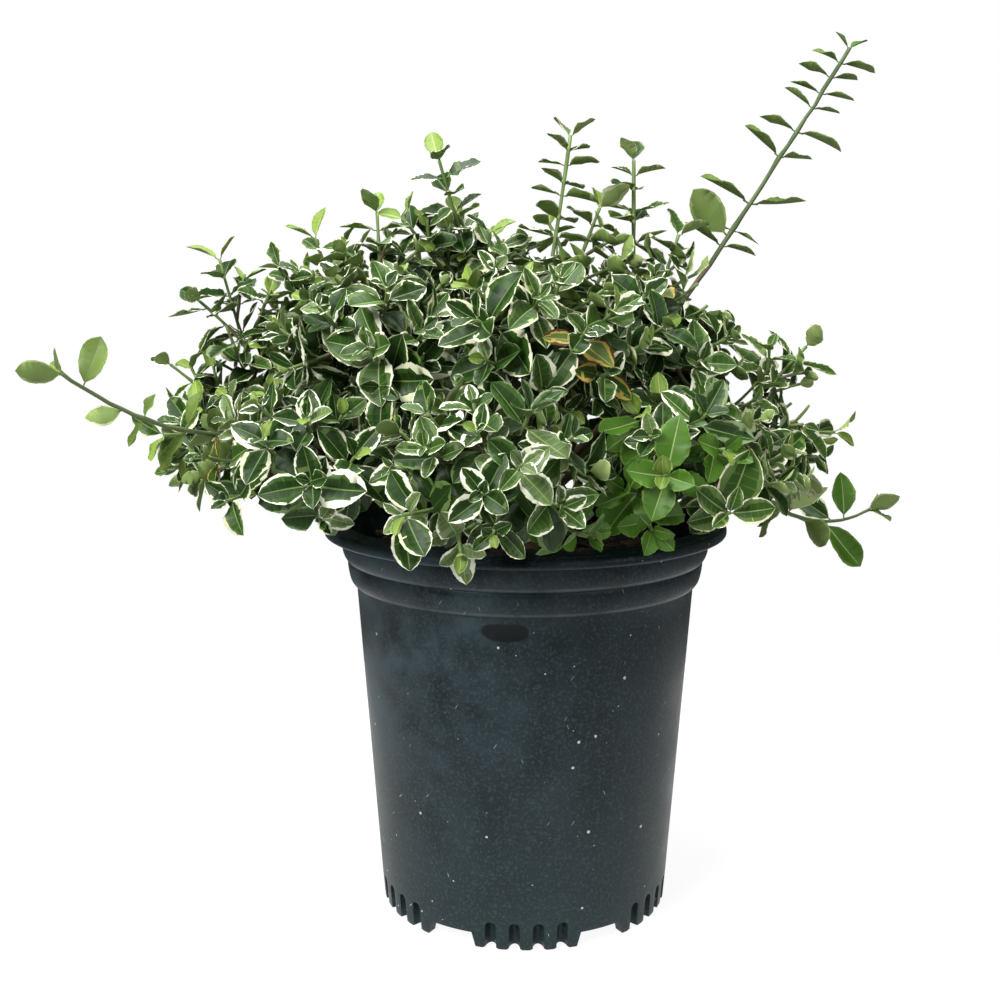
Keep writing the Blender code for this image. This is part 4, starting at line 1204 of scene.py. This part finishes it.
def growSingles(placed, woods):
    # leaves that stand out in the photo, each on the twig that ends nearest to its place
    twigs = [spray for spray in sprays if spray["kind"] == "twig"]
    grown = 0
    for home, share, along, face, length, look in singles:
        if isinstance(home, str):
            spray = next(spray for spray in sprays if spray.get("name") == home)
        else:
            spray = min(twigs, key=lambda spray: missFrom(home, spray))
            spray["hangs"] = True
        spot = alongLine(spray["line"], lineLength(spray["line"]) * share)[0]
        leaf = placeLeaf(spray, spot, Vector(along), Vector(face).normalized(), length, placed, woods)
        if leaf:
            spray["leaves"].append((*leaf, liveryNumbers[look], kindTemplates["usual"][0]))
            grown += 1
    print("single leaves:", grown, "of", len(singles))


leafChances = {"shaded": 0.26, "strays": 0.34, "youngOnSprig": 0.75, "youngOnTwig": 0.35, "freshNext": 0.18,
               "cuts": {"thin": 18, "usual": 52, "broad": 30}}


def leafLook(spray, step, rng):
    # livery and cut of one leaf: inner pairs get darker colours as painted shade, the youngest pair of many sprays is
    # pale green
    look = spray["look"]
    if spray["kind"] == "twig" and rng.random() < (step - 2) * leafChances["shaded"]:
        look = "shaded"
    elif look in dealing["twigs"] and not spray.get("spotted"):
        if rng.random() < leafChances["strays"]:
            look = rng.choice(("dark", "dim", "mid", "soft", "pale"))
        if step == 0 and rng.random() < leafChances["youngOnSprig" if spray["kind"] == "sprig" else "youngOnTwig"]:
            look = "young"
        elif step == 1 and rng.random() < leafChances["freshNext"]:
            look = "fresh"
    elif look in ("plain", "green") and step == 0:
        look = rng.choice(("young", "plain"))
    elif look == "lime" and step > 1:
        look = "mid"
    elif look in ("faded", "spoiled") and not step == 2:
        look = rng.choice(("mid", "soft"))
    if look in ("plain", "green", "young", "lime"):
        kind = "thin"
    else:
        kind = rng.choices(list(leafChances["cuts"]), list(leafChances["cuts"].values()))[0]
    return liveryNumbers[look], rng.choice(kindTemplates[kind])


def growOne(spray, spot, heading, step, half, rise, share, placed, woods):
    # one leaf of a pair; each further try rolls more freely and is a little smaller
    rng = spray["rng"]
    right = (step * spray["quarter"] + half) % math.tau > 1.0
    tilt = leafTries["tilt"].get(spray.get("name"), 0.0) * (1 if right else -1)
    for attempt in range(leafTries["tries"]):
        roll = rng.uniform(-1.0, 1.0) * leafTries["roll"] * (1.0 + attempt)
        turn = spray["turn"] + step * spray["quarter"] + half + roll
        lean = math.radians(rise + tilt + rng.uniform(-1.0, 1.0) * leafTries["riseJitter"] * (1 + attempt))
        size = spray["leaf"] * share * rng.uniform(*leafTries["lengths"]) * (1.0 - 0.07 * attempt)
        leaf = growLeaf(spray, spot, heading, turn, lean, size, placed, woods)
        if leaf:
            spray["leaves"].append((*leaf, *leafLook(spray, step, rng)))
            return True
    return False


def growLeaves():
    # shoots first, then short shoots, then twigs
    placed = {}
    woods = twigTree()
    order = sorted(sprays, key=lambda spray: {"runner": 0, "sprig": 1}.get(spray["kind"], 2))
    twigs = [spray for spray in order if spray["kind"] == "twig"]
    for spray in sprays:
        spray["leaves"] = []
        spray["turn"] = spray["rng"].uniform(0.0, math.tau)
        spray["quarter"] = math.pi / 2
        if spray.get("name") in leafTries["level"]:
            # pairs of this shoot turn their stalks into one plane, as seen from the front
            heading = (spray["line"][-1] - spray["line"][3]).normalized()
            side = heading.orthogonal().normalized()
            flat = heading.cross(Vector((0.0, 1.0, 0.0)))
            spray["turn"] = math.atan2(flat.dot(heading.cross(side)), flat.dot(side))
            spray["quarter"] = math.pi
    growSingles(placed, woods)
    count, missed = 0, 0
    # the outer three pairs of every twig come before the inner ones
    rounds = [(spray, 0, 3 if spray["kind"] == "twig" else None) for spray in order]
    for spray, first, last in rounds + [(spray, 3, None) for spray in twigs]:
        rng = spray["rng"]
        length = lineLength(spray["line"])
        for step, (back, rise, share) in list(enumerate(spray["nodes"]))[first:last]:
            back *= rng.uniform(0.92, 1.08)
            if back > length * leafTries["bareFrom"]:
                continue
            spot, heading = alongLine(spray["line"], length - back)
            for half in (0.0, math.pi):
                if growOne(spray, spot, heading, step, half, rise, share, placed, woods):
                    count += 1
                else:
                    missed += 1
    print("leaves grown:", count, "without room:", missed)


growLeaves()


# joined meshes

def arrayMesh(name, verts, loops, sizes, slots, rims=None, leafVerts=0):
    mesh = bpy.data.meshes.new(name)
    mesh.vertices.add(len(verts))
    mesh.vertices.foreach_set("co", np.ascontiguousarray(verts, dtype=np.float32).ravel())
    mesh.loops.add(len(loops))
    mesh.loops.foreach_set("vertex_index", np.ascontiguousarray(loops, dtype=np.int32))
    mesh.polygons.add(len(sizes))
    starts = np.concatenate(([0], np.cumsum(sizes)[:-1])).astype(np.int32)
    mesh.polygons.foreach_set("loop_start", starts)
    mesh.update(calc_edges=True)
    mesh.shade_smooth()
    mesh.polygons.foreach_set("material_index", np.ascontiguousarray(slots, dtype=np.int32))
    if rims:
        ends = np.zeros(len(mesh.edges) * 2, dtype=np.int32)
        mesh.edges.foreach_get("vertices", ends)
        ends = np.sort(ends.reshape(-1, 2), axis=1)
        keys = (ends[:, 0] % leafVerts) * leafVerts + ends[:, 1] % leafVerts
        sharp = np.isin(keys, [a * leafVerts + b for a, b in rims])
        mesh.edges.foreach_set("use_edge_sharp", sharp)
    mesh.validate()
    return mesh


def leafMesh(name, leaves):
    shapes, looks = cuts["shapes"], cuts["looks"]
    count, each = len(leaves), shapes.shape[1]
    template = np.array([leaf[5] for leaf in leaves])
    livery = np.array([leaf[4] for leaf in leaves])
    root = np.array([tuple(leaf[0]) for leaf in leaves])
    along = np.array([tuple(leaf[1]) for leaf in leaves])
    face = np.array([tuple(leaf[2]) for leaf in leaves])
    length = np.array([leaf[3] for leaf in leaves])
    side = np.cross(along, face)
    axes = np.stack((side, along, face), axis=1) * length[:, None, None]
    verts = np.einsum("nvi,nij->nvj", shapes[template], axes) + root[:, None, :]
    loops = cuts["loops"][None, :] + (np.arange(count) * each)[:, None]
    slots = np.take_along_axis(liverySlots[livery], looks[template], axis=1)
    sizes = np.tile(cuts["sizes"], count)
    return arrayMesh(name, verts.reshape(-1, 3), loops.ravel(), sizes, slots.ravel(), cuts["rims"], each)


twigColours = {
    "twigYoung": ((0.150, 0.225, 0.070), 0.50),
    "twigGreen": ((0.105, 0.150, 0.058), 0.52),
    "twigTan": ((0.185, 0.150, 0.090), 0.62),
    "twigBrown": ((0.095, 0.068, 0.042), 0.70),
}
twigMaterials = plainMaterials(twigColours)
twigCut = {
    "sides": 6, "swelling": 1.28,
    # from which share of its length each colour is used
    "shades": {"stem": ((-1.0, 3),), "runner": ((0.30, 1), (-1.0, 2)), "sprig": ((0.60, 0), (0.35, 1), (-1.0, 2)),
               "twig": ((0.82, 0), (0.55, 1), (0.28, 2), (-1.0, 3))},
}


def twigMesh(name, chosen):
    sides = twigCut["sides"]
    verts, loops, sizes, slots = [], [], [], []
    for spray in chosen:
        line = spray["line"]
        length = lineLength(line)
        radii = evenRadii(spray["radii"], len(line))
        done = 0.0
        for k, place, side, lift in ringFrames(line):
            if k:
                loops += [corner for face in wallFaces(len(verts), sides) for corner in face]
                sizes += [4] * sides
                shades = twigCut["shades"][spray["kind"]]
                slots += [next(slot for least, slot in shades if done / length > least)] * sides
            node = any(abs(length - done - back) < 0.002 for back, rise, share in spray["nodes"])
            verts += ringPoints(place, side, lift, radii[k] * (twigCut["swelling"] if node else 1.0), sides)
            if k + 1 < len(line):
                done += (line[k + 1] - place).length
        first = len(verts) - sides * len(line)
        loops += list(range(first + sides - 1, first - 1, -1)) + list(range(len(verts) - sides, len(verts)))
        sizes += [sides, sides]
        slots += [slots[-1], slots[-1]]
    return arrayMesh(name, np.array(verts), np.array(loops), np.array(sizes), np.array(slots))


def buildFoliage():
    groups = [(mass["name"], "foliage_" + mass["name"], "foliage", [s for s in sprays if s["mass"] is mass])
              for mass in masses]
    groups += [(s["name"], s["name"], "shoot_foliage", [s]) for s in sprays if s["kind"] == "runner"]
    for name, node, slot, chosen in groups:
        leaves = [leaf for spray in chosen for leaf in spray["leaves"]]
        newObject("leaves_" + name, leafMesh("leaves_" + name, leaves), leafMaterials, [node], slot)
        newObject("twigs_" + name, twigMesh("twigs_" + name, chosen), twigMaterials, [node], slot)


buildFoliage()
print("foliage built")
